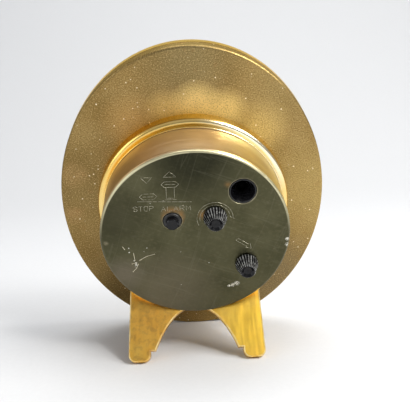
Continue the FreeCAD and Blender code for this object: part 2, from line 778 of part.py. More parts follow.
# Date corrector: a black conical cup in the cap with a sprung pusher at its bottom
cup_floor = cap_back - cup_depth
cup_neck = pusher_radius + running_gap
turned(
    "corrector_cup",
    [
        (cup_neck, cup_floor - cup_wall),
        (cup_neck + 2 * cup_wall, cup_floor - cup_wall),
        (cup_neck + 2 * cup_wall, cup_floor),
        (cup_radius, cap_front),
        (cup_radius, cap_back - running_gap),
        (cup_radius - cup_wall / 2, cap_back - running_gap),
        (cup_neck + cup_wall / 2, cup_floor + cup_wall / 2),
        (cup_neck, cup_floor + cup_wall / 2),
    ],
    corrector_x,
    corrector_y,
)
date_rim_back = front_level(2) + gear_thickness
pusher_end = date_rim_back + ring_gap + pusher_travel
pusher_shoulder = cup_floor - cup_wall - ring_gap
turned(
    "date_corrector",
    [
        (0.0, pusher_end),
        (pusher_rod, pusher_end),
        (pusher_rod, pusher_shoulder - shoulder_height),
        (pusher_radius + cup_wall, pusher_shoulder - shoulder_height),
        (pusher_radius + cup_wall, pusher_shoulder),
        (pusher_radius, pusher_shoulder),
        (pusher_radius, cup_floor + pusher_proud - button_bevel),
        (pusher_radius - button_bevel, cup_floor + pusher_proud),
        (0.0, cup_floor + pusher_proud),
    ],
    corrector_x,
    corrector_y,
)

# Foot bracket: one sloping plate cut to two legs, on a saddle that hugs the drum
ground = (disc_half_height - dish_round) * cosine(lean) - dish_round * sine(lean) + dish_round
leg_slope = leg_splay + lean
leg_start = cap_back + leg_lap
leg_top_rise = ground - drum_radius * cosine(lean) - leg_start * sine(lean)
leg_reach = leg_top_rise - leg_thickness * cosine(leg_slope) + sole_cut
leg_drop = Size(
    leg_reach.value / sine(leg_slope).value, f"({leg_reach.text} / {sine(leg_slope).text})"
)
toe_start = leg_drop - toe_height


def sloping_sketch(body, down=0.0):
    """A sketch on the back face of the legs, whose y runs up the plate."""
    sketch = new_sketch(body, "XY_Plane")
    base_y = -drum_radius - down * sine(leg_splay)
    base_z = leg_start + down * cosine(leg_splay)
    tilt = leg_splay - 90
    sketch.AttachmentOffset = FreeCAD.Placement(
        FreeCAD.Vector(number(leg_shift), number(base_y), number(base_z)),
        FreeCAD.Rotation(FreeCAD.Vector(1, 0, 0), number(tilt)),
    )
    bind(sketch, ".AttachmentOffset.Base.x", leg_shift)
    bind(sketch, ".AttachmentOffset.Base.y", base_y)
    bind(sketch, ".AttachmentOffset.Base.z", base_z)
    bind(sketch, ".AttachmentOffset.Rotation.Angle", tilt)
    return sketch


def box_outline(sketch, half_width, low, high):
    corners = [(-half_width, low), (half_width, low), (half_width, high), (-half_width, high)]
    draw_outline(sketch, corners)


def along_plate(edge):
    """How far an edge's middle lies below the drum's edge, and before the back face."""
    middle = edge.BoundBox.Center
    y = middle.y + number(drum_radius)
    z = middle.z - number(leg_start)
    sin, cos = number(sine(leg_splay)), number(cosine(leg_splay))
    return z * cos - y * sin, -(z * sin + y * cos)


def toe_corner(edge):
    down, inside = along_plate(edge)
    short = abs(edge.Length - number(leg_thickness)) < same
    return short and abs(down - number(leg_drop)) < same and abs(inside) > edge_slack


def back_outline(edge):
    inside = [along_plate(Part.Edge(edge.Curve, a, b))[1] for a, b in edge_ends(edge)]
    return max(abs(depth) for depth in inside) < 2 * same


def edge_ends(edge):
    """Two short stretches at an edge's ends, to test whether it lies in a plane."""
    first, last = edge.ParameterRange
    step = (last - first) / 100
    return [(first, first + step), (last - step, last)]


body = new_body("foot_plate")
sketch = sloping_sketch(body)
draw_outline(
    sketch,
    [
        (-leg_foot_half, -leg_drop),
        (leg_foot_half, -leg_drop),
        (leg_top_half, leg_top),
        (-leg_top_half, leg_top),
    ],
)
pad(body, sketch, leg_thickness, backwards=True)
sketch = sloping_sketch(body, arch_centre)
draw_oval(sketch, arch_half, arch_rise)
pocket(body, sketch, leg_thickness)
sketch = sloping_sketch(body, toe_start)
box_outline(sketch, toe_inner, -2.0 * leg_drop, 0.0)
pocket(body, sketch, leg_thickness)
round_edges(body, toe_round, toe_corner)
round_edges(body, edge_bevel, back_outline, "PartDesign::Chamfer")
sketch = new_sketch(body, "XY_Plane")
draw_circle(sketch, drum_radius)
pocket(body, sketch, 2.0 * leg_start, backwards=True)
sketch = new_sketch(body, "XY_Plane")
base_y = -ground * cosine(lean)
base_z = ground * sine(lean)
sketch.AttachmentOffset = FreeCAD.Placement(
    FreeCAD.Vector(0, number(base_y), number(base_z)),
    FreeCAD.Rotation(FreeCAD.Vector(1, 0, 0), -90 - number(lean)),
)
bind(sketch, ".AttachmentOffset.Base.y", base_y)
bind(sketch, ".AttachmentOffset.Base.z", base_z)
bind(sketch, ".AttachmentOffset.Rotation.Angle", -90.0 - lean)
box_outline(sketch, 2.0 * leg_foot_half, -2.0 * leg_start, 2.0 * leg_start)
pocket(body, sketch, leg_drop)
sketch = new_sketch(body, "YZ_Plane")
saddle_outer = drum_radius + saddle_thickness
draw_outline(
    sketch,
    [
        (-saddle_outer, saddle_start),
        (-drum_radius, saddle_start),
        (-drum_radius, saddle_end),
        (-saddle_outer, saddle_end),
    ],
)
saddle = revolve(body, sketch)
saddle.Angle = 2 * number(saddle_angle)
bind(saddle, "Angle", 2 * saddle_angle)
saddle.Midplane = True

screw_z = (saddle_start + saddle_end) / 2
bracket_rays = []
for side in (-1, 1):
    angle = math.radians(-90 + side * number(bracket_screw_angle))
    bracket_rays.append(FreeCAD.Vector(math.cos(angle), math.sin(angle), 0))
screw_plane = FreeCAD.Vector(0, 0, number(screw_z))
hole_low, hole_high = number(drum_bore - screw_radius), number(saddle_outer + screw_radius)
bracket_holes = [
    (screw_radius, screw_plane + ray * hole_low, screw_plane + ray * hole_high)
    for ray in bracket_rays
]
drilled("foot_bracket", body, bracket_holes)
drilled("drum_shell", drum, bracket_holes)


# Screws: a shank, a cheese head and a slot
def screw(head_seat, ray, length):
    """One screw whose head stands on head_seat and whose shank runs along ray."""
    shank = Part.makeCylinder(number(screw_radius), length, head_seat, ray)
    head = Part.makeCylinder(number(screw_head), number(screw_head_height), head_seat, -ray)
    slot = number(screw_slot)
    width = 2 * number(screw_head) + slot
    cutter = Part.makeBox(width, slot, slot, FreeCAD.Vector(-width / 2, -slot / 2, -slot))
    turn = FreeCAD.Rotation(FreeCAD.Vector(0, 0, 1), -ray)
    cutter.Placement = FreeCAD.Placement(head_seat - ray * number(screw_head_height), turn)
    return join(shank, head).cut(cutter)


bracket_grip = number(saddle_thickness + drum_wall + screw_reach)
bracket_screws = [
    screw(screw_plane + ray * number(saddle_outer), -ray, bracket_grip) for ray in bracket_rays
]
shaped("bracket_screws", Part.makeCompound(bracket_screws))

# Wheel places. Distances follow from the two knobs and from each pair's tooth counts.
centre = (0.0, 0.0)
setting = (number(setting_x), number(setting_y))
alarm = (number(alarm_x), number(alarm_y))
corrector = (number(corrector_x), number(corrector_y))
setting_way = direction(centre, setting)
alarm_way = direction(centre, alarm)
setting_reach = math.hypot(*setting)
alarm_reach = math.hypot(*alarm)
cannon_module = 2 * setting_reach / (cannon_teeth + minute_teeth)
hour_module = 2 * setting_reach / (minute_pinion + hour_teeth)
alarm_module = 2 * alarm_reach / (alarm_teeth + 2 * idler_teeth + alarm_pinion)
seconds_module = number(dim("seconds_module", 0.36, "module of the seconds wheel"))
rotor_module = number(dim("rotor_module", 0.2, "module of the intermediate wheel"))
third_reach = number(dim("third_reach", 8.5, "distance from the centre to the third wheel"))
third_angle = number(dim("third_angle", -118.0, "direction of the third wheel, in degrees"))
second_angle = number(dim("second_angle", 100.0, "direction of the intermediate wheel"))
rotor_angle = number(dim("rotor_angle", 150.0, "direction from that wheel to the rotor"))
date_angle = number(dim("date_angle", 180.0, "direction of the date drive wheel"))
date_module = number(dim("date_module", 0.4, "module of the date wheels"))
intermediate_reach = seconds_module * (seconds_teeth + intermediate_pinion) / 2
rotor_reach = rotor_module * (intermediate_teeth + rotor_teeth) / 2
third_module = 2 * third_reach / (third_teeth + seconds_pinion)
centre_module = 2 * third_reach / (centre_teeth + third_pinion)
date_reach = date_module * (date_drive_teeth + date_pinion) / 2
idler = beside(centre, alarm_module * (alarm_teeth + idler_teeth) / 2, math.degrees(alarm_way))
third = beside(centre, third_reach, third_angle)
intermediate = beside(centre, intermediate_reach, second_angle)
rotor = beside(intermediate, rotor_reach, rotor_angle)
date_drive = beside(centre, date_reach, date_angle)
date_way = direction(centre, date_drive)


def wheel(teeth, module, low, phase, place):
    gear = toothed(teeth, teeth * module / 2, low, phase)
    gear.translate(FreeCAD.Vector(place[0], place[1], 0))
    return gear


# Tubes and arbors on the centre line, from the inside out
centre_bore = seconds_shaft + running_gap
centre_tube = centre_bore + tube_wall
cannon_bore = centre_tube + running_gap
cannon_tube = cannon_bore + tube_wall
hour_bore = cannon_tube + running_gap
hour_tube = hour_bore + tube_wall
alarm_bore = hour_tube + running_gap
alarm_tube = alarm_bore + tube_wall
alarm_hand_front = dial_front - hand_start - hand_thickness
hour_hand_front = alarm_hand_front - hand_pitch
minute_hand_front = hour_hand_front - hand_pitch
seconds_hand_front = minute_hand_front - hand_pitch
pivot_back = bridge_front + bridge_seat
pivot_front = main_plate_back - plate_seat

# Time wheels in front of the main plate, turned by the hand setting knob's stem
cannon_phase = setting_way
minute_phase = mesh_phase(cannon_phase, cannon_teeth, minute_teeth, setting_way)
hour_phase = setting_way
minute_pinion_phase = mesh_phase(hour_phase, hour_teeth, minute_pinion, setting_way)
cannon = join(
    wheel(cannon_teeth, cannon_module, front_level(4), cannon_phase, centre),
    rod(cannon_tube, minute_hand_front, front_level(4) + gear_thickness),
).cut(rod(cannon_bore, minute_hand_front - 1, main_plate_front))
shaped("cannon_pinion", cannon)
minute_stem = join(
    wheel(minute_teeth, cannon_module, front_level(4), minute_phase, setting),
    wheel(minute_pinion, hour_module, front_level(3), minute_pinion_phase, setting),
    rod(stem_radius, front_level(3), knob_front + knob_height / 2, setting_x, setting_y),
)
shaped("minute_wheel", minute_stem)
hour_wheel = join(
    wheel(hour_teeth, hour_module, front_level(3), hour_phase, centre),
    wheel(date_pinion, date_module, front_level(2), date_way, centre),
    rod(hour_tube, hour_hand_front, front_level(3) + gear_thickness),
).cut(rod(hour_bore, hour_hand_front - 1, main_plate_front))
shaped("hour_wheel", hour_wheel)

# Alarm wheels. The idler carries the motion from behind the date ring to the dial.
alarm_phase = alarm_way
idler_phase = mesh_phase(alarm_phase, alarm_teeth, idler_teeth, alarm_way)
alarm_pinion_phase = mesh_phase(idler_phase, idler_teeth, alarm_pinion, alarm_way)
alarm_wheel = join(
    wheel(alarm_teeth, alarm_module, front_level(1), alarm_phase, centre),
    rod(alarm_tube, alarm_hand_front, front_level(1) + gear_thickness),
).cut(rod(alarm_bore, alarm_hand_front - 1, main_plate_front))
shaped("alarm_wheel", alarm_wheel)
idler_end = main_plate_front + plate_seat
alarm_idler = join(
    wheel(idler_teeth, alarm_module, front_level(1), idler_phase, idler),
    wheel(idler_teeth, alarm_module, front_level(4), idler_phase, idler),
    rod(pivot_radius, front_level(1), idler_end, *idler),
)
shaped("alarm_idler", alarm_idler)
alarm_stem = join(
    wheel(alarm_pinion, alarm_module, front_level(4), alarm_pinion_phase, alarm),
    rod(stem_radius, front_level(4), knob_front + knob_height / 2, alarm_x, alarm_y),
)
shaped("alarm_stem", alarm_stem)

# Date works: a ring with numbers and inner teeth, and a wheel whose finger moves it on
date_drive_phase = mesh_phase(date_way, date_pinion, date_drive_teeth, date_way)
finger_half = dim("finger_half", 0.5, "half the width of the date drive's finger")
finger_bite = dim("finger_bite", 0.3, "how far that finger reaches past the ring's teeth")
date_rim_width = dim("date_rim_width", 1.2, "width of the date ring's thick rim")
finger_reach = date_inner - date_reach + finger_bite
date_low = front_level(2)
finger = block(-finger_half, finger_half, 0, finger_reach, date_low, date_rim_back)
finger.translate(FreeCAD.Vector(*date_drive, 0))
date_drive_wheel = join(
    wheel(date_drive_teeth, date_module, date_low, date_drive_phase, date_drive),
    rod(pivot_radius, date_low, idler_end, *date_drive),
    finger,
)
shaped("date_drive_wheel", date_drive_wheel)
ring_depth = date_rim_back - date_front
ring_hole = star(date_teeth, date_inner, date_root, 0.3, date_front, ring_depth, 0.0)
date_rim = date_root + date_rim_width
ring_blank = join(
    rod(date_outer, date_front, date_back),
    rod(date_rim, date_front, date_rim_back),
)
shaped("date_ring", ring_blank.cut(ring_hole))

# Running train behind the main plate: rotor, intermediate, seconds, third, centre
rotor_way = direction(rotor, intermediate)
inward = direction(intermediate, centre)
outward = direction(centre, third)
rotor_phase = rotor_way
intermediate_phase = mesh_phase(rotor_phase, rotor_teeth, intermediate_teeth, rotor_way)
intermediate_pinion_phase = inward
seconds_phase = mesh_phase(intermediate_pinion_phase, intermediate_pinion, seconds_teeth, inward)
seconds_pinion_phase = outward
third_phase = mesh_phase(seconds_pinion_phase, seconds_pinion, third_teeth, outward)
centre_phase = outward
third_pinion_phase = mesh_phase(centre_phase, centre_teeth, third_pinion, outward)
centre_wheel = join(
    wheel(centre_teeth, centre_module, back_level(1), centre_phase, centre),
    rod(centre_tube, minute_hand_front + hand_thickness, back_level(1) + gear_thickness),
).cut(rod(centre_bore, minute_hand_front - 1, bridge_front))
shaped("centre_wheel", centre_wheel)
third_wheel = join(
    wheel(third_teeth, third_module, back_level(2), third_phase, third),
    wheel(third_pinion, centre_module, back_level(1), third_pinion_phase, third),
    rod(pivot_radius, pivot_front, pivot_back, *third),
)
shaped("third_wheel", third_wheel)
seconds_wheel = join(
    wheel(seconds_teeth, seconds_module, back_level(3), seconds_phase, centre),
    wheel(seconds_pinion, third_module, back_level(2), seconds_pinion_phase, centre),
    rod(seconds_shaft, seconds_hand_front, pivot_back),
)
shaped("seconds_wheel", seconds_wheel)
intermediate_wheel = join(
    wheel(intermediate_teeth, rotor_module, back_level(4), intermediate_phase, intermediate),
    wheel(intermediate_pinion, seconds_module, back_level(3), intermediate_pinion_phase, intermediate),
    rod(pivot_radius, pivot_front, pivot_back, *intermediate),
)
shaped("intermediate_wheel", intermediate_wheel)
rotor_radius = dim("rotor_radius", 1.6, "radius of the rotor's magnet")
rotor_height = dim("rotor_height", 2.2, "height of the rotor's magnet")
rotor_low = back_level(5)
rotor_solid = join(
    wheel(rotor_teeth, rotor_module, back_level(4), rotor_phase, rotor),
    rod(rotor_radius, rotor_low, rotor_low + rotor_height, *rotor),
    rod(rotor_pivot, pivot_front, pivot_back, *rotor),
)
shaped("rotor", rotor_solid)


# Hands, seen from behind. A clock-wise hand turns to the left here.
def hand(label, length, tail, hub, bore, root_width, tip_width, front, degrees):
    """A hand that widens from its root to its middle and then narrows to its tip."""
    body = new_body(label)
    root_end, middle, widest = length * 0.12, length * 0.5, root_width * 0.75
    sketch = new_sketch(body, "XY_Plane", front)
    draw_outline(
        sketch,
        [
            (-root_width / 2, -tail),
            (root_width / 2, -tail),
            (root_width / 2, root_end),
            (widest, middle),
            (tip_width / 2, length),
            (-tip_width / 2, length),
            (-widest, middle),
            (-root_width / 2, root_end),
        ],
    )
    pad(body, sketch, hand_thickness)
    sketch = new_sketch(body, "XY_Plane", front)
    draw_circle(sketch, hub)
    pad(body, sketch, hand_thickness)
    sketch = new_sketch(body, "XY_Plane", front)
    draw_circle(sketch, bore)
    pocket(body, sketch, hand_thickness, backwards=True)
    add_part(body, label, 0.0, 0.0, degrees)


hour_width = dim("hour_width", 2.0, "width of the hour hand")
minute_width = dim("minute_width", 1.6, "width of the minute hand")
seconds_width = dim("seconds_width", 0.6, "width of the seconds hand")
alarm_width = dim("alarm_width", 0.84, "width of the alarm hand")
tip_width = dim("tip_width", 0.6, "width of a hand's tip")
fine_tip = dim("fine_tip", 0.3, "width of the seconds hand's tip")
hour_hub = dim("hour_hub", 2.4, "radius of the hour hand's hub")
minute_hub = dim("minute_hub", 1.92, "radius of the minute hand's hub")
seconds_hub = dim("seconds_hub", 1.44, "radius of the seconds hand's hub")
alarm_hub = dim("alarm_hub", 2.4, "radius of the alarm hand's hub")
short_tail = dim("short_tail", 2.3, "length of a hand behind its hub's middle")
long_tail = dim("long_tail", 7.2, "length of the seconds hand behind its middle")
hours, minutes, seconds, alarm_hours = 10.0, 9.0, 36.0, 7.0
hour_angle = 30 * (hours + minutes / 60)
minute_angle = 6 * (minutes + seconds / 60)
hand("hour_hand", hour_length, short_tail, hour_hub, hour_tube,
     hour_width, tip_width, hour_hand_front, hour_angle)
hand("minute_hand", minute_length, short_tail, minute_hub, cannon_tube,
     minute_width, tip_width, minute_hand_front, minute_angle)
hand("seconds_hand", seconds_length, long_tail, seconds_hub, seconds_shaft,
     seconds_width, fine_tip, seconds_hand_front, 6 * seconds)
hand("alarm_hand", alarm_length, short_tail, alarm_hub, alarm_tube,
     alarm_width, tip_width, alarm_hand_front, 30 * alarm_hours)

# Plates of the movement
plate_radius = drum_bore - fit_gap
screw_ring = number(plate_radius - screw_head - ring_gap)
movement_screw_places = [beside(centre, screw_ring, degrees) for degrees in (75, 0, -75)]
body = new_body("main_plate")
sketch = new_sketch(body, "XY_Plane", main_plate_front)
draw_circle(sketch, plate_radius)
draw_circle(sketch, centre_tube + running_gap)
draw_circle(sketch, stem_radius + running_gap, setting_x, setting_y)
draw_circle(sketch, stem_radius + running_gap, alarm_x, alarm_y)
draw_circle(sketch, pusher_rod + running_gap, corrector_x, corrector_y)
for place in (idler, date_drive, third, intermediate):
    draw_circle(sketch, pivot_radius + running_gap, *place)
draw_circle(sketch, rotor_pivot + running_gap, *rotor)
for place in movement_screw_places:
    draw_circle(sketch, screw_radius, *place)
pad(body, sketch, main_plate_thickness)
add_part(body, "main_plate")

spacer_boss = date_outer + ring_gap - fit_gap
spacer = tube(spacer_inner, plate_radius, 0.0, main_plate_front)
boss = tube(spacer_inner, spacer_boss, date_back + ring_gap, fit_gap)
spacer = join(spacer, boss)
for x, y in movement_screw_places:
    spacer = spacer.cut(rod(screw_radius, -1, main_plate_front + 1, x, y))
spacer = spacer.cut(rod(pusher_rod + ring_gap, -1, main_plate_front + 1, *corrector))
shaped("movement_spacer", spacer)


def screws_forward(places, seat, length):
    """Screws whose heads stand on the plane z = seat and whose shanks run forwards."""
    forward = FreeCAD.Vector(0, 0, -1)
    seats = [FreeCAD.Vector(x, y, number(seat)) for x, y in places]
    return Part.makeCompound([screw(seat, forward, number(length)) for seat in seats])


shaped(
    "movement_screws",
    screws_forward(movement_screw_places, main_plate_back, main_plate_back),
)

# Rear bridge on four pillars that stand between the wheels
pillar_places = [(21.5, 2.0), (6.0, -20.0), (-7.0, -19.5), (8.0, 21.5)]
body = new_body("rear_bridge")
sketch = new_sketch(body, "XY_Plane", bridge_front)
draw_circle(sketch, bridge_radius)
for place in pillar_places:
    draw_circle(sketch, screw_radius, *place)
draw_circle(sketch, stem_radius + running_gap, setting_x, setting_y)
draw_circle(sketch, stem_radius + running_gap, alarm_x, alarm_y)
draw_circle(sketch, pusher_rod + running_gap, corrector_x, corrector_y)
draw_circle(sketch, seconds_shaft + running_gap)
for place in (third, intermediate):
    draw_circle(sketch, pivot_radius + running_gap, *place)
draw_circle(sketch, rotor_pivot + running_gap, *rotor)
pad(body, sketch, bridge_thickness)
sketch = new_sketch(body, "XY_Plane", bridge_back)
draw_outline(
    sketch,
    [
        (-2 * bridge_radius, -2 * bridge_radius),
        (bridge_cut, -2 * bridge_radius),
        (bridge_cut, 2 * bridge_radius),
        (-2 * bridge_radius, 2 * bridge_radius),
    ],
)
pocket(body, sketch, bridge_thickness)
add_part(body, "rear_bridge")
pillars = [
    tube(screw_radius, pillar_radius, main_plate_back, bridge_front, x, y)
    for x, y in pillar_places
]
shaped("bridge_pillars", Part.makeCompound(pillars))
bridge_grip = bridge_back - main_plate_back - screw_end_gap
shaped("bridge_screws", screws_forward(pillar_places, bridge_back, bridge_grip))

# Stepping motor: a stator plate round the rotor, and a coil on its core
stator_thickness = dim("stator_thickness", 0.8, "thickness of the stator")
stator_lift = dim("stator_lift", 0.6, "height of the stator above the magnet's front end")
coil_y = dim("coil_y", 18.6, "motor coil, upwards")
coil_x = dim("coil_x", -3.5, "motor coil, sideways")
arm_width = dim("arm_width", 2.2, "width of the stator's core")
core_end = dim("core_end", 1.4, "how far the core reaches past the coil")
yoke_drop = dim("yoke_drop", 2.6, "how far the stator reaches below the rotor's axis")
yoke_height = dim("yoke_height", 5.0, "height of the stator round the rotor")
stator_room = dim("stator_room", 0.4, "gap between the stator and what turns in it")
post_radius = dim("post_radius", 0.6, "radius of a stator post")
post_inset = dim("post_inset", 1.0, "from the stator's top edge to a post")
stator_front = rotor_low + stator_lift
stator_back = stator_front + stator_thickness
coil_left, coil_right = coil_x - coil_length / 2, coil_x + coil_length / 2
stator_left, stator_right = coil_left - core_end, coil_right + core_end
arm_top = coil_y + arm_width / 2
arm_low = rotor[1] - yoke_drop


def sheet_iron(x_low, x_high, y_low, y_high):
    return block(x_low, x_high, y_low, y_high, stator_front, stator_back)


core = sheet_iron(stator_left, stator_right, arm_top - arm_width, arm_top)
stator = join(
    core,
    sheet_iron(stator_left, coil_left - fit_gap, arm_low, arm_top),
    sheet_iron(coil_right + fit_gap, stator_right, arm_low, arm_top),
    sheet_iron(stator_left, stator_right, arm_low, arm_low + yoke_height),
)
for radius, place in (
    (rotor_radius, rotor),
    (pivot_radius, intermediate),
    (stem_radius, setting),
):
    room = rod(radius + stator_room, stator_front - 1, stator_back + 1, *place)
    stator = stator.cut(room)
post_y = arm_top - post_inset
posts = [
    rod(post_radius, main_plate_back, stator_front, x, post_y)
    for x in (stator_left + core_end / 2, stator_right - core_end / 2)
]
shaped("stator", stator)
shaped("stator_posts", Part.makeCompound(posts))
core_z = (stator_front + stator_back) / 2
sideways, upwards = FreeCAD.Vector(1, 0, 0), FreeCAD.Vector(0, 1, 0)


def bar(radius, length, way, x, y, z):
    """A cylinder that starts at a place and runs one way."""
    start = FreeCAD.Vector(number(x), number(y), number(z))
    return Part.makeCylinder(number(radius), number(length), start, way)


spool = bar(coil_radius, coil_length, sideways, coil_left, coil_y, core_z)
shaped("motor_coil", spool.cut(core))

# Battery along the drum's side, in a plastic cradle with a contact at each end
nub_radius = dim("nub_radius", 2.1, "radius of the battery's positive end")
nub_height = dim("nub_height", 0.6, "height of the battery's positive end")
battery_lift = dim("battery_lift", 0.6, "height of the battery above the main plate")
cradle_end = dim("cradle_end", 1.6, "how far the cradle reaches past the battery's ends")
cradle_side = dim("cradle_side", 0.4, "how far the cradle reaches past the battery's sides")
contact = dim("contact", 0.35, "thickness of the battery contacts")
contact_half = dim("contact_half", 2.2, "half the width of a battery contact")
contact_low = dim("contact_low", 5.0, "reach of a contact below the battery's axis")
contact_high = dim("contact_high", 3.0, "reach of a contact above the battery's axis")
battery_half = battery_length / 2
battery_z = main_plate_back + battery_radius + battery_lift
cell = bar(battery_radius, battery_length, upwards, battery_x, -battery_half, battery_z)
nub = bar(nub_radius, nub_height, upwards, battery_x, battery_half, battery_z)
shaped("battery", join(cell, nub))
cradle_half = battery_half + cradle_end
cradle_width = battery_radius + cradle_side
cradle = block(
    battery_x - cradle_width, battery_x + cradle_width, -cradle_half, cradle_half,
    main_plate_back, main_plate_back + cradle_height,
)
trough_half = battery_half + nub_height + contact + fit_gap
trough_radius = battery_radius + running_gap
trough = bar(trough_radius, 2 * trough_half, upwards, battery_x, -trough_half, battery_z)
inside = rod(plate_radius - fit_gap, main_plate_back - 1, cap_front)
shaped("battery_cradle", cradle.cut(trough).common(inside))
for label, low in (
    ("battery_plus", battery_half + nub_height),
    ("battery_minus", -battery_half - contact),
):
    strip = block(
        battery_x - contact_half, battery_x + contact_half, low, low + contact,
        battery_z - contact_low, battery_z + contact_high,
    )
    shaped(label, strip)

# Circuit board on the bridge's screws, with its chip, quartz can and alarm contact
board_left = dim("board_left", -9.5, "left side of the circuit board")
board_right = dim("board_right", 10.5, "right side of the circuit board")
board_low = dim("board_low", -23.5, "lower side of the circuit board")
board_high = dim("board_high", -6.0, "upper side of the circuit board")
can_radius = dim("can_radius", 1.0, "radius of the quartz can")
can_length = dim("can_length", 6.0, "length of the quartz can")
can_x = dim("can_x", -6.5, "quartz can, sideways")
can_y = dim("can_y", -20.0, "lower end of the quartz can")
chip_x = dim("chip_x", -2.0, "left side of the chip")
chip_y = dim("chip_y", -13.0, "lower side of the chip")
chip_side = dim("chip_side", 4.5, "side of the chip")
chip_height = dim("chip_height", 0.9, "height of the chip")
leaf_half = dim("leaf_half", 1.2, "half the width of the alarm contact's leaf")
leaf_below = dim("leaf_below", 5.0, "reach of that leaf below the button's axis")
leaf_above = dim("leaf_above", 2.0, "reach of that leaf above the button's axis")
buzzer_y = dim("buzzer_y", -17.5, "buzzer, upwards")
board_front = bridge_back + screw_head_height
board_back = board_front + board_thickness
board = block(board_left, board_right, board_low, board_high, board_front, board_back)
shaped("circuit_board", board.common(inside))
shaped("quartz_can", bar(can_radius, can_length, upwards, can_x, can_y, board_back + can_radius))
chip = block(
    chip_x, chip_x + chip_side, chip_y, chip_y + chip_side, board_back, board_back + chip_height
)
shaped("clock_chip", chip)
leaf = block(
    button_x - leaf_half, button_x + leaf_half, button_y - leaf_below, button_y + leaf_above,
    bridge_back, leaf_back,
)
shaped("alarm_contact", leaf)
buzzer = rod(buzzer_radius, cap_front - buzzer_height, cap_front, 0.0, buzzer_y)
shaped("buzzer", buzzer)

# Lean the clock back, stand it on the ground and centre it over its footprint
tilt = FreeCAD.Matrix(
    -1, 0, 0, 0,
    0, number(sine(lean)), number(cosine(lean)), 0,
    0, number(cosine(lean)), -number(sine(lean)), 0,
    0, 0, 0, 1,
)
upright = FreeCAD.Placement(tilt)


def stand(base):
    """Gives every piece its place, with the clock's origin at base."""
    for piece, x, y, turn in parts:
        local = FreeCAD.Placement(
            FreeCAD.Vector(x, y, 0), FreeCAD.Rotation(FreeCAD.Vector(0, 0, 1), turn)
        )
        piece.Placement = FreeCAD.Placement(base, upright.Rotation).multiply(local)
    doc.recompute()


stand(FreeCAD.Vector(0, 0, 0))
boxes = [piece.Shape.optimalBoundingBox(False) for piece, x, y, turn in parts]
middle_y = (min(b.YMin for b in boxes) + max(b.YMax for b in boxes)) / 2
stand(FreeCAD.Vector(0, -middle_y, number(ground)))
print("clock axis at", round(-middle_y, 4), round(number(ground), 4))

for thing in doc.Objects:
    if "Invalid" in thing.State or "Error" in thing.State:
        raise RuntimeError(f"{thing.Label} failed: {thing.State}")
os.makedirs("parts", exist_ok=True)
for piece, x, y, turn in parts:
    shape = piece.Shape
    if shape.isNull() or not shape.isValid() or not shape.Solids:
        raise RuntimeError(f"{piece.Label} has no valid solid")
    shape.exportStep(f"parts/{piece.Label}.step")
    print(piece.Label, len(shape.Solids), round(shape.Volume, 2))
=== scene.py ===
# %% [markdown]
# # A gilt desk clock, seen from behind
#
# The clock is an upright oval disc with a round drum behind it. The drum carries the
# back cap with its two setting knobs, the stop button and the date corrector, and a
# bracket with two legs leans the whole thing back. The shapes come in with the frame.
# This lesson dresses them: each finish is made from nodes, and what is too fine for
# the construction, such as engraved lines and printed numbers, is modelled here.

# %% Load the frame
import json
import math

import bpy
from mathutils import Matrix, Vector


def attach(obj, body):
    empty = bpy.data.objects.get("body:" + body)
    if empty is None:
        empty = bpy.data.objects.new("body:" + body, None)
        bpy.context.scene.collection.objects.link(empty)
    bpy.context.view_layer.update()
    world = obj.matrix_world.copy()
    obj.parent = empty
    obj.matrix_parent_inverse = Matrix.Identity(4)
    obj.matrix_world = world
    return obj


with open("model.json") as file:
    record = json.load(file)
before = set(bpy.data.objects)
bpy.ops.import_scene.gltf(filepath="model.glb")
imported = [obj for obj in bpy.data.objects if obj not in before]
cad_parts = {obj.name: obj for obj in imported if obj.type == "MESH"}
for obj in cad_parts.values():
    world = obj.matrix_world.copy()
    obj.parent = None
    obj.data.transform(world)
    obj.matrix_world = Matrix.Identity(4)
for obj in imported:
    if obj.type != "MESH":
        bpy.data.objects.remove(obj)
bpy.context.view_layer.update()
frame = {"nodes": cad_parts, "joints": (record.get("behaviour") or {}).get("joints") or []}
MM = 0.001

# %% [markdown]
# Almost every mark on this clock is easiest to place in the clock's own directions: x to
# the right and y up as seen from behind, and z backwards along the drum. The clock leans
# back, so these differ from the room's. The axis of the minute hand says where they are,
# and one matrix turns clock places, in millimetres, into room places in metres.

# %% The clock's own directions
joints = {joint["name"]: joint for joint in frame["joints"]}
axle = Vector(joints["minute_turn"]["axis"]).normalized()
base = Vector(joints["minute_turn"]["pos_m"])
across = Vector((-1.0, 0.0, 0.0))
upward = axle.cross(across)
CLOCK = Matrix((across, upward, axle)).transposed().to_4x4()
CLOCK.translation = base


def clock_place(x, y, z):
    """A room place in metres for a clock place in millimetres."""
    return CLOCK @ Vector((x * MM, y * MM, z * MM))


def clock_points(node):
    """A node's vertices in clock millimetres."""
    inverse = CLOCK.inverted()
    return [inverse @ vertex.co / MM for vertex in frame["nodes"][node].data.vertices]


print("the drum's axis starts at", tuple(round(part, 4) for part in base))

# %% [markdown]
# The finishes need a few places on the clock: how far back the cap reaches, the drum's
# radius, and where the controls are. They are measured on the solids, so they follow when
# a size is changed in the construction.


# %% Places on the clock
def clock_z(node, pick=max):
    """How far back along the drum a node reaches, in millimetres."""
    return pick(point.z for point in clock_points(node))


def clock_axis(node):
    """The x and y of a round node's axis, in clock millimetres."""
    points = clock_points(node)
    ends = [(min(p[way] for p in points), max(p[way] for p in points)) for way in (0, 1)]
    return [(low + high) / 2 for low, high in ends]


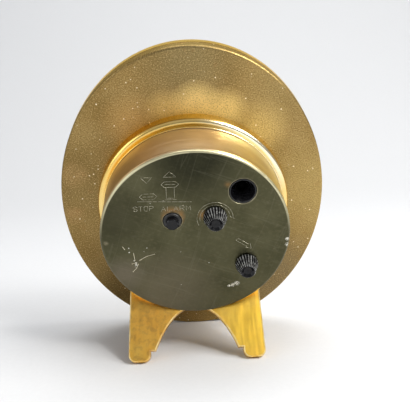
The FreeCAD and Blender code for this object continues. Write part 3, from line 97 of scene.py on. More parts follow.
CAP_Z = clock_z("rear_cap")
DRUM_RADIUS = max(math.hypot(point.x, point.y) for point in clock_points("drum_shell"))
KNOBS = {node: clock_axis(node) for node in ("hand_setting_knob", "alarm_setting_knob")}
CUP = clock_axis("corrector_cup")
STOP_BUTTON = clock_axis("stop_alarm_button")
print("back cap at z =", round(CAP_Z, 3), "mm, drum radius", round(DRUM_RADIUS, 3), "mm")
print("knobs:", KNOBS, "cup:", CUP, "stop button:", STOP_BUTTON)

# %% [markdown]
# A finish is a small tree of nodes round one Principled shader. Its pattern reads the place
# of the shaded point, turned into the clock's own directions, so that a patch or a line can
# be put where the real clock has it. A finish starts from plain values, and a pattern that
# is linked later takes their place.


# %% A new finish
def put(tree, socket, value):
    """Links a socket to another one, or sets its value."""
    if isinstance(value, bpy.types.NodeSocket):
        tree.links.new(value, socket)
    elif isinstance(value, (tuple, list)) and len(value) == 3 and socket.type == "RGBA":
        socket.default_value = (*value, 1.0)
    else:
        socket.default_value = value


def add(tree, kind, **inputs):
    """A node of that kind, with its inputs linked or set by name."""
    node = tree.nodes.new(kind)
    for name, value in inputs.items():
        put(tree, node.inputs[name.replace("_", " ")], value)
    return node


def start(name, colour, metallic, roughness):
    """A new material, its tree, its shader and the clock place of the shaded point."""
    material = bpy.data.materials.new(name)
    material.use_nodes = True
    tree = material.node_tree
    shader = tree.nodes["Principled BSDF"]
    put(tree, shader.inputs["Base Color"], colour)
    put(tree, shader.inputs["Metallic"], metallic)
    put(tree, shader.inputs["Roughness"], roughness)
    here = tree.nodes.new("ShaderNodeTexCoord").outputs["Object"]
    turn = tree.nodes.new("ShaderNodeMapping")
    turn.vector_type = "TEXTURE"
    put(tree, turn.inputs["Vector"], here)
    turn.inputs["Location"].default_value = base
    turn.inputs["Rotation"].default_value = CLOCK.to_euler()
    return material, tree, shader, turn.outputs["Vector"]


FINISH = {}


def dress(material, *nodes):
    """Notes which finish these nodes get."""
    for node in nodes:
        FINISH[node] = material
    print(material.name, "for", ", ".join(nodes))


# %% [markdown]
# The same few steps come back in all finishes: noise of a given size, a range that turns it
# into a mask, a mix of two colours and a bump. A short function for each keeps the finishes
# readable. Sizes are given in millimetres, so a pattern has the scale of the real surface.


# %% Steps that every finish shares
def noise(tree, place, size, detail=3.0, stretch=None):
    """Noise with lumps about size millimetres wide, drawn out along an axis by stretch."""
    if stretch:
        scaled = add(tree, "ShaderNodeMapping", Vector=place, Scale=stretch)
        place = scaled.outputs["Vector"]
    scale = 1 / (size * MM)
    node = add(tree, "ShaderNodeTexNoise", Vector=place, Scale=scale, Detail=detail)
    return node.outputs["Fac"]


def span(tree, value, low, high, start=0.0, end=1.0):
    """Maps low..high to start..end, and holds the ends."""
    node = add(tree, "ShaderNodeMapRange", Value=value)
    node.inputs["From Min"].default_value = low
    node.inputs["From Max"].default_value = high
    node.inputs["To Min"].default_value = start
    node.inputs["To Max"].default_value = end
    return node.outputs["Result"]


def mixed(tree, factor, first, second):
    """A colour between first and second."""
    node = tree.nodes.new("ShaderNodeMix")
    node.data_type = "RGBA"
    put(tree, node.inputs["Factor"], factor)
    put(tree, node.inputs[6], first)
    put(tree, node.inputs[7], second)
    return node.outputs[2]


def reckon(tree, operation, first, second=0.0):
    """One step of arithmetic between two numbers or masks."""
    node = tree.nodes.new("ShaderNodeMath")
    node.operation = operation
    put(tree, node.inputs[0], first)
    put(tree, node.inputs[1], second)
    return node.outputs[0]


def times(tree, first, second):
    """A mask where both masks are, or a mask made weaker by a number."""
    return reckon(tree, "MULTIPLY", first, second)


def bump(tree, shader, height, depth, strength):
    """Raises and lowers the surface by up to depth millimetres."""
    node = add(tree, "ShaderNodeBump", Height=height, Distance=depth * MM, Strength=strength)
    tree.links.new(node.outputs["Normal"], shader.inputs["Normal"])


print("finish steps ready")

# %% [markdown]
# Wear isn't spread evenly. It sits where hands and tools come, so masks are needed that
# know a place: round a point, or at a distance from an axis along the drum.


# %% Masks by place
def nearness(tree, place, x, y, z, radius, softness):
    """1 within radius of a clock place in millimetres, and 0 past the softness."""
    node = tree.nodes.new("ShaderNodeVectorMath")
    node.operation = "DISTANCE"
    tree.links.new(place, node.inputs[0])
    node.inputs[1].default_value = (x * MM, y * MM, z * MM)
    distance = node.outputs["Value"]
    return span(tree, distance, radius * MM, (radius + softness) * MM, 1.0, 0.0)


def from_axis(tree, place, x=0.0, y=0.0):
    """How far a point is from an axis along the drum, and its place across that axis."""
    shift = add(tree, "ShaderNodeMapping", Vector=place, Location=(-x * MM, -y * MM, 0.0))
    way = add(tree, "ShaderNodeSeparateXYZ", Vector=shift.outputs["Vector"])
    squares = [reckon(tree, "POWER", way.outputs[side], 2.0) for side in ("X", "Y")]
    return reckon(tree, "SQRT", reckon(tree, "ADD", *squares)), way


LARGE_SOFTNESS = 5.0
LEAST_OF_SMALL = 0.35
LEAST_OF_LARGE = 0.85


def tinted(tree, place, colour, patches, ragged):
    """Lays soft patches over a colour.

    A patch is x, y, z, radius and softness in millimetres, then a strength and a tint. The
    noise in ragged breaks up a small patch, and hardly touches a large one.
    """
    for x, y, z, radius, softness, strength, tint in patches:
        spot = nearness(tree, place, x, y, z, radius, softness)
        least = LEAST_OF_SMALL if softness < LARGE_SOFTNESS else LEAST_OF_LARGE
        spot = times(tree, spot, span(tree, ragged, 0.30, 0.60, least, 1.0))
        colour = mixed(tree, times(tree, spot, strength), colour, tint)
    return colour


print("place masks ready")

# %% [markdown]
# The disc's back is bead-blasted and gilded: a fine even grain, a warm satin sheen, bright
# specks that are painted glints, and after years of handling olive clouds, rusty spots and
# some stains on the left. Clouds at the bottom and on the left are painted shade, paler
# gilding on the right is painted light, and above the drum the gilding is at its brightest
# as a painted reflection of the collar. The grain is noise less than half a millimetre
# wide, which darkens, lightens and raises the surface, and the clouds are noise forty times
# as large. A Voronoi pattern gives separate specks. A metal that is seen at a low angle
# turns white, and the specular tint keeps its rim golden.

# %% Clouds, painted shade and painted light on the disc
DISC_CLOUDS_AND_PAINTED_LIGHT = [
    # Olive at the top; olive and brown at the bottom and on the left, which is painted shade
    (0.0, 50.0, 0.0, 5.0, 14.0, 0.7, (0.26, 0.205, 0.095)),
    (-24.0, -34.0, 0.0, 8.0, 22.0, 0.8, (0.20, 0.135, 0.05)),
    (30.0, -34.0, 0.0, 6.0, 16.0, 0.7, (0.22, 0.175, 0.10)),
    (-42.0, 8.0, 0.0, 6.0, 20.0, 0.7, (0.225, 0.155, 0.056)),
    # Coppery stains on the left
    (-41.0, 12.0, 0.0, 1.5, 4.5, 0.6, (0.46, 0.29, 0.12)),
    (-43.0, -4.0, 0.0, 1.0, 3.5, 0.6, (0.48, 0.29, 0.12)),
    (-20.0, 31.0, 0.0, 3.0, 8.0, 0.6, (0.62, 0.38, 0.13)),
    # Painted reflection of the collar: bright gilding above the drum
    (2.0, 35.5, 0.0, 3.5, 6.5, 0.85, (1.0, 0.74, 0.29)),
    (-8.0, 35.0, 0.0, 2.0, 6.0, 0.6, (0.92, 0.64, 0.23)),
    (12.0, 35.0, 0.0, 2.0, 6.0, 0.7, (0.98, 0.72, 0.28)),
    (24.0, 28.0, 0.0, 3.0, 8.0, 0.7, (0.72, 0.51, 0.18)),
    # Painted light: paler gilding on the right
    (42.0, 4.0, 0.0, 6.0, 18.0, 0.7, (0.50, 0.36, 0.13)),
    (30.0, 42.0, 0.0, 3.0, 14.0, 0.4, (0.44, 0.33, 0.14)),
]
print("clouds on the disc:", len(DISC_CLOUDS_AND_PAINTED_LIGHT))

# %% [markdown]
# The finish lays these clouds, the painted shade and the painted light over two shades of
# gilt, then adds rust, the pits and glints of the grain, and last the specks, which are
# painted glints.

# %% Bead-blasted gilt of the disc
CLOUD_SIZE = 16.0
STAIN_SIZE = 3.5
GRAIN_SIZE = 0.42
GRAIN_DEPTH = 0.05
SPECK_CELL = 1.7
SPECK_REACH = 0.16
BARE_CELLS = 0.80
OLD_GILT = (0.27, 0.172, 0.054)
CLEAN_GILT = (0.37, 0.25, 0.092)
RUST = (0.34, 0.18, 0.06)
PITS = (0.13, 0.085, 0.03)
GLINTS = (0.78, 0.58, 0.27)
SPECK_GLINTS = (1.0, 0.88, 0.60)
BLASTED_RIM = (1.0, 0.82, 0.46)


def specks(tree, place, size, reach):
    """Separate small spots: 1 in the middle of one cell in five, 0 elsewhere."""
    scale = 1 / (size * MM)
    node = add(tree, "ShaderNodeTexVoronoi", Vector=place, Scale=scale, Randomness=1.0)
    spot = span(tree, node.outputs["Distance"], reach * 0.6, reach, 1.0, 0.0)
    shade = add(tree, "ShaderNodeSeparateColor", Color=node.outputs["Color"])
    chosen = span(tree, shade.outputs["Red"], BARE_CELLS, BARE_CELLS + 0.02)
    return times(tree, spot, chosen)


def blasted_gilt():
    material, tree, shader, place = start("blasted_gilt", (0.36, 0.25, 0.10), 1.0, 0.42)
    clouds = span(tree, noise(tree, place, CLOUD_SIZE, 4.0), 0.38, 0.68)
    colour = mixed(tree, clouds, OLD_GILT, CLEAN_GILT)
    ragged = noise(tree, place, STAIN_SIZE, 5.0)
    colour = tinted(tree, place, colour, DISC_CLOUDS_AND_PAINTED_LIGHT, ragged)
    colour = mixed(tree, span(tree, ragged, 0.60, 0.78, 0.0, 0.4), colour, RUST)
    grain = noise(tree, place, GRAIN_SIZE, 3.0)
    colour = mixed(tree, span(tree, grain, 0.36, 0.50, 0.45, 0.0), colour, PITS)
    colour = mixed(tree, span(tree, grain, 0.54, 0.70, 0.0, 0.38), colour, GLINTS)
    # The specks are painted glints of the blasted grain.
    colour = mixed(tree, specks(tree, place, SPECK_CELL, SPECK_REACH), colour, SPECK_GLINTS)
    put(tree, shader.inputs["Base Color"], colour)
    put(tree, shader.inputs["Specular Tint"], BLASTED_RIM)
    put(tree, shader.inputs["Roughness"], span(tree, grain, 0.35, 0.7, 0.50, 0.34))
    bump(tree, shader, grain, GRAIN_DEPTH, 0.7)
    return material


dress(blasted_gilt(), "rear_plate")

# %% [markdown]
# The bezel and the collar are polished. A polished gilt surface is smooth but not perfect:
# faint hairlines run round the clock and the gilding is a little uneven, so the roughness
# changes with a soft noise. The collar has a pale painted highlight at the upper right, and
# is painted a deeper yellow at the upper left as painted shade, away from the light.

# %% Polished gilt
SHINE_SIZE = 16.0
HAIRLINE_SIZE = 0.8
HAIRLINE_DEPTH = 0.01
CLOSE_ALONG_DRUM = (1.0, 1.0, 18.0)
DEEP_SHINE = (0.84, 0.60, 0.21)
PALE_SHINE = (0.92, 0.69, 0.28)
POLISHED_RIM = (1.0, 0.80, 0.40)
# Painted highlight at the upper right of the collar, painted shade at its upper left
COLLAR_PAINTED_LIGHT_AND_SHADE = [
    (22.0, 25.0, 4.0, 10.0, 12.0, 0.9, (1.0, 0.95, 0.74)),
    (-24.0, 22.0, 4.0, 8.0, 14.0, 0.9, (0.96, 0.63, 0.16)),
]


def polished_gilt():
    material, tree, shader, place = start("polished_gilt", (0.70, 0.50, 0.21), 1.0, 0.2)
    clouds = noise(tree, place, SHINE_SIZE, 3.0)
    colour = mixed(tree, span(tree, clouds, 0.35, 0.7), DEEP_SHINE, PALE_SHINE)
    colour = tinted(tree, place, colour, COLLAR_PAINTED_LIGHT_AND_SHADE, clouds)
    put(tree, shader.inputs["Base Color"], colour)
    put(tree, shader.inputs["Specular Tint"], POLISHED_RIM)
    put(tree, shader.inputs["Roughness"], span(tree, clouds, 0.3, 0.7, 0.17, 0.23))
    hairlines = noise(tree, place, HAIRLINE_SIZE, 2.0, CLOSE_ALONG_DRUM)
    bump(tree, shader, hairlines, HAIRLINE_DEPTH, 0.5)
    return material


dress(polished_gilt(), "front_bezel", "collar_ring")

# %% [markdown]
# The drum was finished on a lathe: fine lines run round it. Noise that is stretched to
# change only along the drum gives them. The gilding is pale and pink on top. It is painted
# brown at the upper left as a painted shadow, and clear yellow at the upper right as
# painted light.

# %% Spun gilt of the drum
DRUM_CLOUD_SIZE = 14.0
DRUM_STAIN_SIZE = 3.0
LATHE_SIZE = 0.9
LATHE_DEPTH = 0.03
ROUND_THE_DRUM = (0.02, 0.02, 1.0)
PINK_GILT = (0.66, 0.45, 0.24)
YELLOW_GILT = (0.72, 0.54, 0.24)
LATHE_SHADE = (0.52, 0.37, 0.17)
# Pale pink on top; painted shadow at the upper left, painted light at the upper right
DRUM_TINTS_AND_PAINTED_LIGHT = [
    (-4.0, 30.0, 14.0, 8.0, 14.0, 0.85, (0.96, 0.74, 0.50)),
    (-25.0, 18.0, 14.0, 5.0, 14.0, 0.7, (0.50, 0.33, 0.17)),
    (23.0, 20.0, 14.0, 7.0, 14.0, 0.8, (0.98, 0.80, 0.30)),
]


def spun_gilt():
    material, tree, shader, place = start("spun_gilt", (0.62, 0.45, 0.22), 1.0, 0.34)
    clouds = span(tree, noise(tree, place, DRUM_CLOUD_SIZE, 3.0), 0.35, 0.65)
    colour = mixed(tree, clouds, PINK_GILT, YELLOW_GILT)
    lines = noise(tree, place, LATHE_SIZE, 4.0, ROUND_THE_DRUM)
    colour = mixed(tree, span(tree, lines, 0.35, 0.7, 0.0, 0.5), colour, LATHE_SHADE)
    ragged = noise(tree, place, DRUM_STAIN_SIZE, 5.0)
    colour = tinted(tree, place, colour, DRUM_TINTS_AND_PAINTED_LIGHT, ragged)
    put(tree, shader.inputs["Base Color"], colour)
    put(tree, shader.inputs["Roughness"], span(tree, lines, 0.3, 0.7, 0.28, 0.42))
    bump(tree, shader, lines, LATHE_DEPTH, 0.6)
    return material


dress(spun_gilt(), "drum_shell")

# %% [markdown]
# The legs are cut from plate and brushed lengthwise. They have the warmest, most yellow
# gilding on the clock, dulled by brown specks that are strongest on the left leg. The left
# leg is painted darker as shade, and the right one brighter as painted light. The bevel
# round their backs gets a pale painted highlight. A solid takes one material here, so a
# mask has to find the bevel: it lies just in front of the plane of the backs.

# %% Bevel of the legs
LEG_SPLAY = math.radians(40.0)
LEG_LAP = 0.4
LEG_START = Vector((0.0, -DRUM_RADIUS, CAP_Z + LEG_LAP))
LEG_BACK = Vector((0.0, math.cos(LEG_SPLAY), math.sin(LEG_SPLAY)))
LEG_BEVEL = 0.5
BEVEL_FADE = 0.04


def leg_bevel(tree, place):
    """1 on the bevel round the legs, 0 on their backs and sides."""
    node = tree.nodes.new("ShaderNodeVectorMath")
    node.operation = "DOT_PRODUCT"
    tree.links.new(place, node.inputs[0])
    node.inputs[1].default_value = -LEG_BACK
    depth = reckon(tree, "ADD", node.outputs["Value"], LEG_START.dot(LEG_BACK) * MM)
    past_back = span(tree, depth, BEVEL_FADE * MM, 3 * BEVEL_FADE * MM)
    side = (LEG_BEVEL - BEVEL_FADE) * MM, (LEG_BEVEL + BEVEL_FADE) * MM
    before_side = span(tree, depth, *side, 1.0, 0.0)
    return times(tree, past_back, before_side)


print("legs start at", tuple(round(part, 2) for part in LEG_START))

# %% [markdown]
# Brush strokes run down the legs, so the noise for them is drawn out along the plate. The
# brown specks thin out from left to right by the place across the clock, and the painted
# highlight on the bevel is uneven, because a soft noise weakens its mask.

# %% Brushed gilt of the legs
LEG_CLOUD_SIZE = 5.0
LEG_STAIN_SIZE = 2.0
STROKE_SIZE = 1.1
STROKE_DEPTH = 0.03
DOWN_THE_LEG = (1.0, 0.12, 0.12)
DULL_SPECK_SIZE = 1.6
HIGHLIGHT_BREAKUP_SIZE = 4.0
DULL_REACH = 12.0
ORANGE_GILT = (0.90, 0.50, 0.085)
LEMON_GILT = (1.0, 0.66, 0.14)
STROKE_SHADE = (0.66, 0.36, 0.05)
DULL_BROWN = (0.40, 0.22, 0.07)
BEVEL_PAINTED_HIGHLIGHT = (1.0, 0.86, 0.46)
# Painted shade on the left leg and painted light on the right one
LEG_PAINTED_LIGHT_AND_SHADE = [
    (-17.0, -32.0, 24.0, 3.0, 12.0, 0.6, (0.80, 0.40, 0.07)),
    (-21.0, -44.0, 38.0, 1.0, 5.0, 0.5, (0.62, 0.33, 0.06)),
    (19.0, -36.0, 28.0, 5.0, 12.0, 0.7, (1.0, 0.66, 0.07)),
]


def dulled(tree, place, colour):
    """Brown specks, which thin out from the left leg to the right one."""
    way = add(tree, "ShaderNodeSeparateXYZ", Vector=place)
    reach = DULL_REACH * MM
    strength = span(tree, way.outputs["X"], -reach, reach, 0.40, 0.08)
    spots = span(tree, noise(tree, place, DULL_SPECK_SIZE, 6.0), 0.46, 0.66)
    return mixed(tree, times(tree, spots, strength), colour, DULL_BROWN)


def brushed_gilt():
    material, tree, shader, place = start("brushed_gilt", (0.75, 0.50, 0.14), 1.0, 0.34)
    clouds = span(tree, noise(tree, place, LEG_CLOUD_SIZE, 4.0), 0.35, 0.7)
    colour = mixed(tree, clouds, ORANGE_GILT, LEMON_GILT)
    strokes = noise(tree, place, STROKE_SIZE, 3.0, DOWN_THE_LEG)
    colour = mixed(tree, span(tree, strokes, 0.35, 0.7, 0.0, 0.4), colour, STROKE_SHADE)
    ragged = noise(tree, place, LEG_STAIN_SIZE, 5.0)
    colour = tinted(tree, place, colour, LEG_PAINTED_LIGHT_AND_SHADE, ragged)
    colour = dulled(tree, place, colour)
    # The bevel's pale colour is a painted highlight, broken up by noise.
    highlight_breakup = span(tree, noise(tree, place, HIGHLIGHT_BREAKUP_SIZE, 3.0), 0.4, 0.62, 0.12, 0.8)
    bevel = times(tree, leg_bevel(tree, place), highlight_breakup)
    put(tree, shader.inputs["Base Color"], mixed(tree, bevel, colour, BEVEL_PAINTED_HIGHLIGHT))
    rough = span(tree, strokes, 0.3, 0.7, 0.28, 0.42)
    bevel_rough = times(tree, bevel, 0.12)
    put(tree, shader.inputs["Roughness"], reckon(tree, "ADD", rough, bevel_rough))
    bump(tree, shader, strokes, STROKE_DEPTH, 0.5)
    return material


dress(brushed_gilt(), "foot_bracket")

# %% [markdown]
# The back cap is the dullest metal on the clock: a dark olive brass, a little blotchy and
# finely scratched. It is painted almost black at the top and darker on the left as painted
# shade, greyer at the lower left as a painted reflection, and coppery where the lacquer
# has gone beside the stop button and the middle knob. Small nicks show bare metal. Each of
# them is a soft spot at a named place.

# %% Patches and nicks of the back cap
# Painted shade at the top and on the left, and a painted reflection lower down
TOP_PAINTED_SHADE = (0.026, 0.026, 0.0155)
LEFT_PAINTED_SHADE = (0.042, 0.040, 0.024)
LOW_PAINTED_REFLECTION = (0.165, 0.142, 0.092)
EDGE_PAINTED_REFLECTION = (0.190, 0.160, 0.118)
COPPER = (0.30, 0.165, 0.06)
PALE_SPOT = (0.44, 0.38, 0.25)
CAP_STAINS_AND_PAINTED_LIGHT = [
    (0.0, 29.0, CAP_Z, 6.0, 13.0, 0.95, TOP_PAINTED_SHADE),
    (-27.0, 8.0, CAP_Z, 3.0, 12.0, 0.6, LEFT_PAINTED_SHADE),
    (-10.0, -22.0, CAP_Z, 6.0, 14.0, 0.7, LOW_PAINTED_REFLECTION),
    (-24.5, -13.5, CAP_Z, 2.0, 6.0, 0.6, EDGE_PAINTED_REFLECTION),
    (-7.0, 8.0, CAP_Z, 2.6, 1.7, 0.75, COPPER),
    (3.0, 8.2, CAP_Z, 0.6, 1.7, 0.7, COPPER),
    (10.6, 18.9, CAP_Z, 0.2, 1.3, 0.5, COPPER),
    (-29.2, -1.0, CAP_Z, 0.2, 0.8, 0.5, PALE_SPOT),
]
# Each nick is x, y and radius
CAP_NICKS = [
    (-20.0, -9.2, 0.34), (-20.0, -10.0, 0.42), (-20.2, -10.8, 0.30), (-22.0, -4.9, 0.26),
    (-22.0, -3.3, 0.18), (-16.1, -3.5, 0.18), (-17.2, -4.9, 0.20), (-5.2, -5.5, 0.22),
    (-9.9, 13.9, 0.32), (-14.0, 13.2, 0.18), (4.2, -10.4, 0.16), (-5.4, -19.0, 0.17),
    (10.9, -20.4, 0.5), (12.2, -20.1, 0.7), (13.6, -19.5, 0.9), (30.1, -2.2, 0.6),
    (30.2, -4.4, 0.7), (-20.6, -8.4, 0.24),
]
print("patches:", len(CAP_STAINS_AND_PAINTED_LIGHT), "nicks:", len(CAP_NICKS))

# %% [markdown]
# Lines and rings of wear are masks too. A scratch is where long, thin noise crosses its
# middle value. Round the cup and the stop button the brass is worn to a pale ring. The upper
# half of the lid's edge is painted pale as a highlight, where the light falls on it.

# %% Scratches, rings and edge of the back cap
SCRATCHES = ((3.6, 0.4), (5.0, 1.9))
ACROSS_SCRATCH = (0.05, 1.0, 1.0)
SCRATCH_STRENGTH = 0.045
SCRATCHED = (0.50, 0.46, 0.34)
CHIP_SIZE = 0.35
BARE_BRASS = (0.95, 0.92, 0.80)
RINGS = ((CUP, 4.25), (STOP_BUTTON, 2.9))
RING_WIDTH = 0.35
RING_STRENGTH = 0.5
RING_BRASS = (0.40, 0.36, 0.24)
EDGE_INNER = DRUM_RADIUS - 0.8
EDGE_OUTER = DRUM_RADIUS - 0.5
EDGE_LOW = 1.0
EDGE_HIGH = 17.0
EDGE_HIGHLIGHT = (0.72, 0.66, 0.42)


def scratched(tree, place, colour):
    """Thin pale lines in two directions, each with its own size and turn."""
    for size, turn in SCRATCHES:
        turned = add(tree, "ShaderNodeMapping", Vector=place, Rotation=(0.0, 0.0, turn))
        lines = noise(tree, turned.outputs["Vector"], size, 2.0, ACROSS_SCRATCH)
        off_middle = reckon(tree, "ABSOLUTE", reckon(tree, "SUBTRACT", lines, 0.5))
        line = span(tree, off_middle, 0.0, 0.010, SCRATCH_STRENGTH, 0.0)
        colour = mixed(tree, line, colour, SCRATCHED)
    return colour


def nicked(tree, place, colour):
    """Bright nicks, broken up by fine noise so that none is a clean round spot."""
    chipped = span(tree, noise(tree, place, CHIP_SIZE, 4.0), 0.44, 0.56)
    for x, y, radius in CAP_NICKS:
        nick = nearness(tree, place, x, y, CAP_Z, radius * 0.4, radius * 0.9)
        colour = mixed(tree, times(tree, nick, chipped), colour, BARE_BRASS)
    return colour


def ringed(tree, place, colour):
    """A worn ring round each opening, from its radius outwards."""
    for (x, y), radius in RINGS:
        inside = nearness(tree, place, x, y, CAP_Z, radius + RING_WIDTH, RING_WIDTH / 2)
        hole = nearness(tree, place, x, y, CAP_Z, radius - RING_WIDTH, RING_WIDTH)
        ring = times(tree, reckon(tree, "SUBTRACT", inside, hole), RING_STRENGTH)
        colour = mixed(tree, ring, colour, RING_BRASS)
    return colour


def bright_edge(tree, place, colour):
    """A painted highlight along the upper half of the lid's edge."""
    reach, way = from_axis(tree, place)
    edge = span(tree, reach, EDGE_INNER * MM, EDGE_OUTER * MM)
    upper = span(tree, way.outputs["Y"], EDGE_LOW * MM, EDGE_HIGH * MM, 0.04, 0.95)
    return mixed(tree, times(tree, edge, upper), colour, EDGE_HIGHLIGHT)


# The edge printed here carries the painted highlight.
print("worn edge from", EDGE_INNER, "to", EDGE_OUTER, "mm")

# %% [markdown]
# All of it together makes the cap. The layers lie one over another: clouds first, then
# blotches, patches with the painted shade and reflection, scratches, nicks, rings and the
# painted highlight on the edge.

# %% Worn olive brass of the back cap
CAP_CLOUD_SIZE = 11.0
BLOTCH_SIZE = 1.2
CAP_RAGGED_SIZE = 0.9
CAP_BUMP = 0.02
DARK_OLIVE = (0.068, 0.065, 0.034)
LIGHT_OLIVE = (0.100, 0.095, 0.052)
BLOTCH_OLIVE = (0.14, 0.128, 0.072)


def worn_cap():
    material, tree, shader, place = start("worn_cap", (0.10, 0.085, 0.04), 1.0, 0.4)
    clouds = span(tree, noise(tree, place, CAP_CLOUD_SIZE, 5.0), 0.35, 0.68)
    colour = mixed(tree, clouds, DARK_OLIVE, LIGHT_OLIVE)
    blotches = span(tree, noise(tree, place, BLOTCH_SIZE, 5.0), 0.50, 0.75, 0.0, 0.45)
    colour = mixed(tree, blotches, colour, BLOTCH_OLIVE)
    ragged = noise(tree, place, CAP_RAGGED_SIZE, 5.0)
    colour = tinted(tree, place, colour, CAP_STAINS_AND_PAINTED_LIGHT, ragged)
    colour = scratched(tree, place, colour)
    colour = nicked(tree, place, colour)
    colour = ringed(tree, place, colour)
    put(tree, shader.inputs["Base Color"], bright_edge(tree, place, colour))
    put(tree, shader.inputs["Roughness"], span(tree, blotches, 0.0, 0.45, 0.32, 0.44))
    bump(tree, shader, ragged, CAP_BUMP, 0.3)
    return material


dress(worn_cap(), "rear_cap")

# %% [markdown]
# The stop button and the hands are glossy black plastic and lacquer, which get their look
# from a sharp highlight over a deep black. The rubber, resins and lacquers are made the same
# way, with other colours, a duller gloss and a little more dust in the grain.

# %% Moulded plastics, rubber and lacquer
DUST_SIZE = 0.9
DUST_PALER = 0.35
MOULD_GRAIN = 0.5
SMOOTH_GRAIN = 3.0
MOULD_BUMP = 0.01
SHINE = 0.5


def moulded(name, colour, roughness, dust=0.12, grain=MOULD_GRAIN, shine=SHINE):
    """A plastic or lacquer with faint dust in a fine grain."""
    material, tree, shader, place = start(name, colour, 0.0, roughness)
    dusty = span(tree, noise(tree, place, DUST_SIZE, 4.0), 0.55, 0.8, 0.0, dust)
    pale = tuple(min(1.0, part + DUST_PALER) for part in colour)
    put(tree, shader.inputs["Base Color"], mixed(tree, dusty, colour, pale))
    dulled_gloss = span(tree, dusty, 0.0, dust, roughness, roughness + 0.2)
    put(tree, shader.inputs["Roughness"], dulled_gloss)
    shader.inputs["Specular IOR Level"].default_value = shine
    bump(tree, shader, noise(tree, place, grain, 2.0), MOULD_BUMP, 0.3)
    return material


black_gloss = moulded("black_gloss", (0.003, 0.003, 0.004), 0.16, 0.003, SMOOTH_GRAIN, 0.32)
# The pusher deep in its cup is painted nearly black without gloss, as painted shade.
pusher_painted_shade = moulded("pusher_painted_shade", (0.001, 0.001, 0.001), 0.6, 0.001, SMOOTH_GRAIN, 0.01)
black_matt = moulded("black_matt", (0.022, 0.021, 0.020), 0.42)
dress(black_gloss, "stop_alarm_button", "hour_hand", "minute_hand", "seconds_hand")
dress(pusher_painted_shade, "date_corrector")
dress(black_matt, "button_bush", "movement_spacer", "battery_cradle")
dress(moulded("black_rubber", (0.02, 0.02, 0.02), 0.7), "crystal_gasket")
dress(moulded("buzzer_plastic", (0.03, 0.03, 0.035), 0.3), "buzzer")
dress(moulded("chip_resin", (0.025, 0.025, 0.028), 0.5), "clock_chip")
dress(moulded("solder_mask", (0.02, 0.12, 0.06), 0.3), "circuit_board")
dress(moulded("cream_lacquer", (0.74, 0.68, 0.55), 0.42, 0.08), "dial")
dress(moulded("white_lacquer", (0.80, 0.78, 0.72), 0.4, 0.05), "date_ring")
dress(moulded("cell_jacket", (0.05, 0.13, 0.32), 0.3, 0.05), "battery")
white_nylon = moulded("white_nylon", (0.72, 0.71, 0.66), 0.45, 0.05)
dress(white_nylon, "date_drive_wheel", "centre_wheel", "third_wheel", "seconds_wheel")
dress(white_nylon, "intermediate_wheel")

# %% [markdown]
# The date corrector sits at the bottom of a cup, where next to no light gets in. The cup is
# glossy at its mouth, and round the pusher it is painted dead black without gloss as painted
# shade, so it looks as deep as it is.

# %% Corrector cup
SHADED_UP_TO = 1.7
GLOSSY_FROM = 2.6
MOTTLE_SIZE = 4.0
CUP_BLACK = (0.004, 0.004, 0.005)
RECESS_PAINTED_SHADE = (0.0005, 0.0005, 0.0005)


def cup_plastic():
    material, tree, shader, place = start("cup_plastic", (0.003, 0.003, 0.004), 0.0, 0.12)
    reach, _ = from_axis(tree, place, *CUP)
    mouth = span(tree, reach, SHADED_UP_TO * MM, GLOSSY_FROM * MM)
    mottle = span(tree, noise(tree, place, MOTTLE_SIZE, 2.0), 0.3, 0.7, 0.6, 1.0)
    # Deep in the cup the colour is painted shade.
    colour = mixed(tree, times(tree, mouth, mottle), RECESS_PAINTED_SHADE, CUP_BLACK)
    put(tree, shader.inputs["Base Color"], colour)
    put(tree, shader.inputs["Roughness"], span(tree, mouth, 0.0, 1.0, 0.7, 0.12))
    shine = span(tree, mouth, 0.0, 1.0, 0.0, 0.45)
    put(tree, shader.inputs["Specular IOR Level"], shine)
    return material


dress(cup_plastic(), "corrector_cup")

# %% [markdown]
# The knobs are of black plastic too, but the crests between their flutes are painted grey
# all round, as a painted highlight for the light that they catch. The angle round a knob's
# axis, counted in flutes, says where a crest is, so the grey follows the ridges of the real
# shape.

# %% Painted highlight on the crests of the knobs
KNOB_FLUTES = 24
CREST_GREY_FROM = 2.1
CREST_GREY_FULLY = 2.4
PATCHY_SIZE = 1.4
KNOB_BLACK = (0.003, 0.003, 0.004)
CREST_PAINTED_HIGHLIGHT = (0.26, 0.26, 0.25)
KNOB_SHINE = 0.3


def crests(tree, way):
    """1 along the crests between the flutes, by the angle round the knob's axis."""
    angle = reckon(tree, "ARCTAN2", way.outputs["Y"], way.outputs["X"])
    flute = reckon(tree, "FRACT", times(tree, angle, KNOB_FLUTES / (2 * math.pi)))
    off_crest = reckon(tree, "ABSOLUTE", reckon(tree, "SUBTRACT", flute, 0.5))
    return span(tree, off_crest, 0.14, 0.28, 1.0, 0.0)


def rubbed_knob(name, x, y):
    material, tree, shader, place = start(name, KNOB_BLACK, 0.0, 0.2)
    shader.inputs["Specular IOR Level"].default_value = KNOB_SHINE
    reach, way = from_axis(tree, place, x, y)
    outside = span(tree, reach, CREST_GREY_FROM * MM, CREST_GREY_FULLY * MM)
    patchy = span(tree, noise(tree, place, PATCHY_SIZE, 3.0), 0.38, 0.62, 0.15, 1.0)
    crest_highlight = times(tree, times(tree, crests(tree, way), outside), patchy)
    # The grey on the crests is a painted highlight.
    put(tree, shader.inputs["Base Color"], mixed(tree, crest_highlight, KNOB_BLACK, CREST_PAINTED_HIGHLIGHT))
    put(tree, shader.inputs["Roughness"], span(tree, crest_highlight, 0.0, 1.0, 0.2, 0.40))
    return material


for knob, (x, y) in KNOBS.items():
    dress(rubbed_knob(f"{knob}_plastic", x, y), knob)

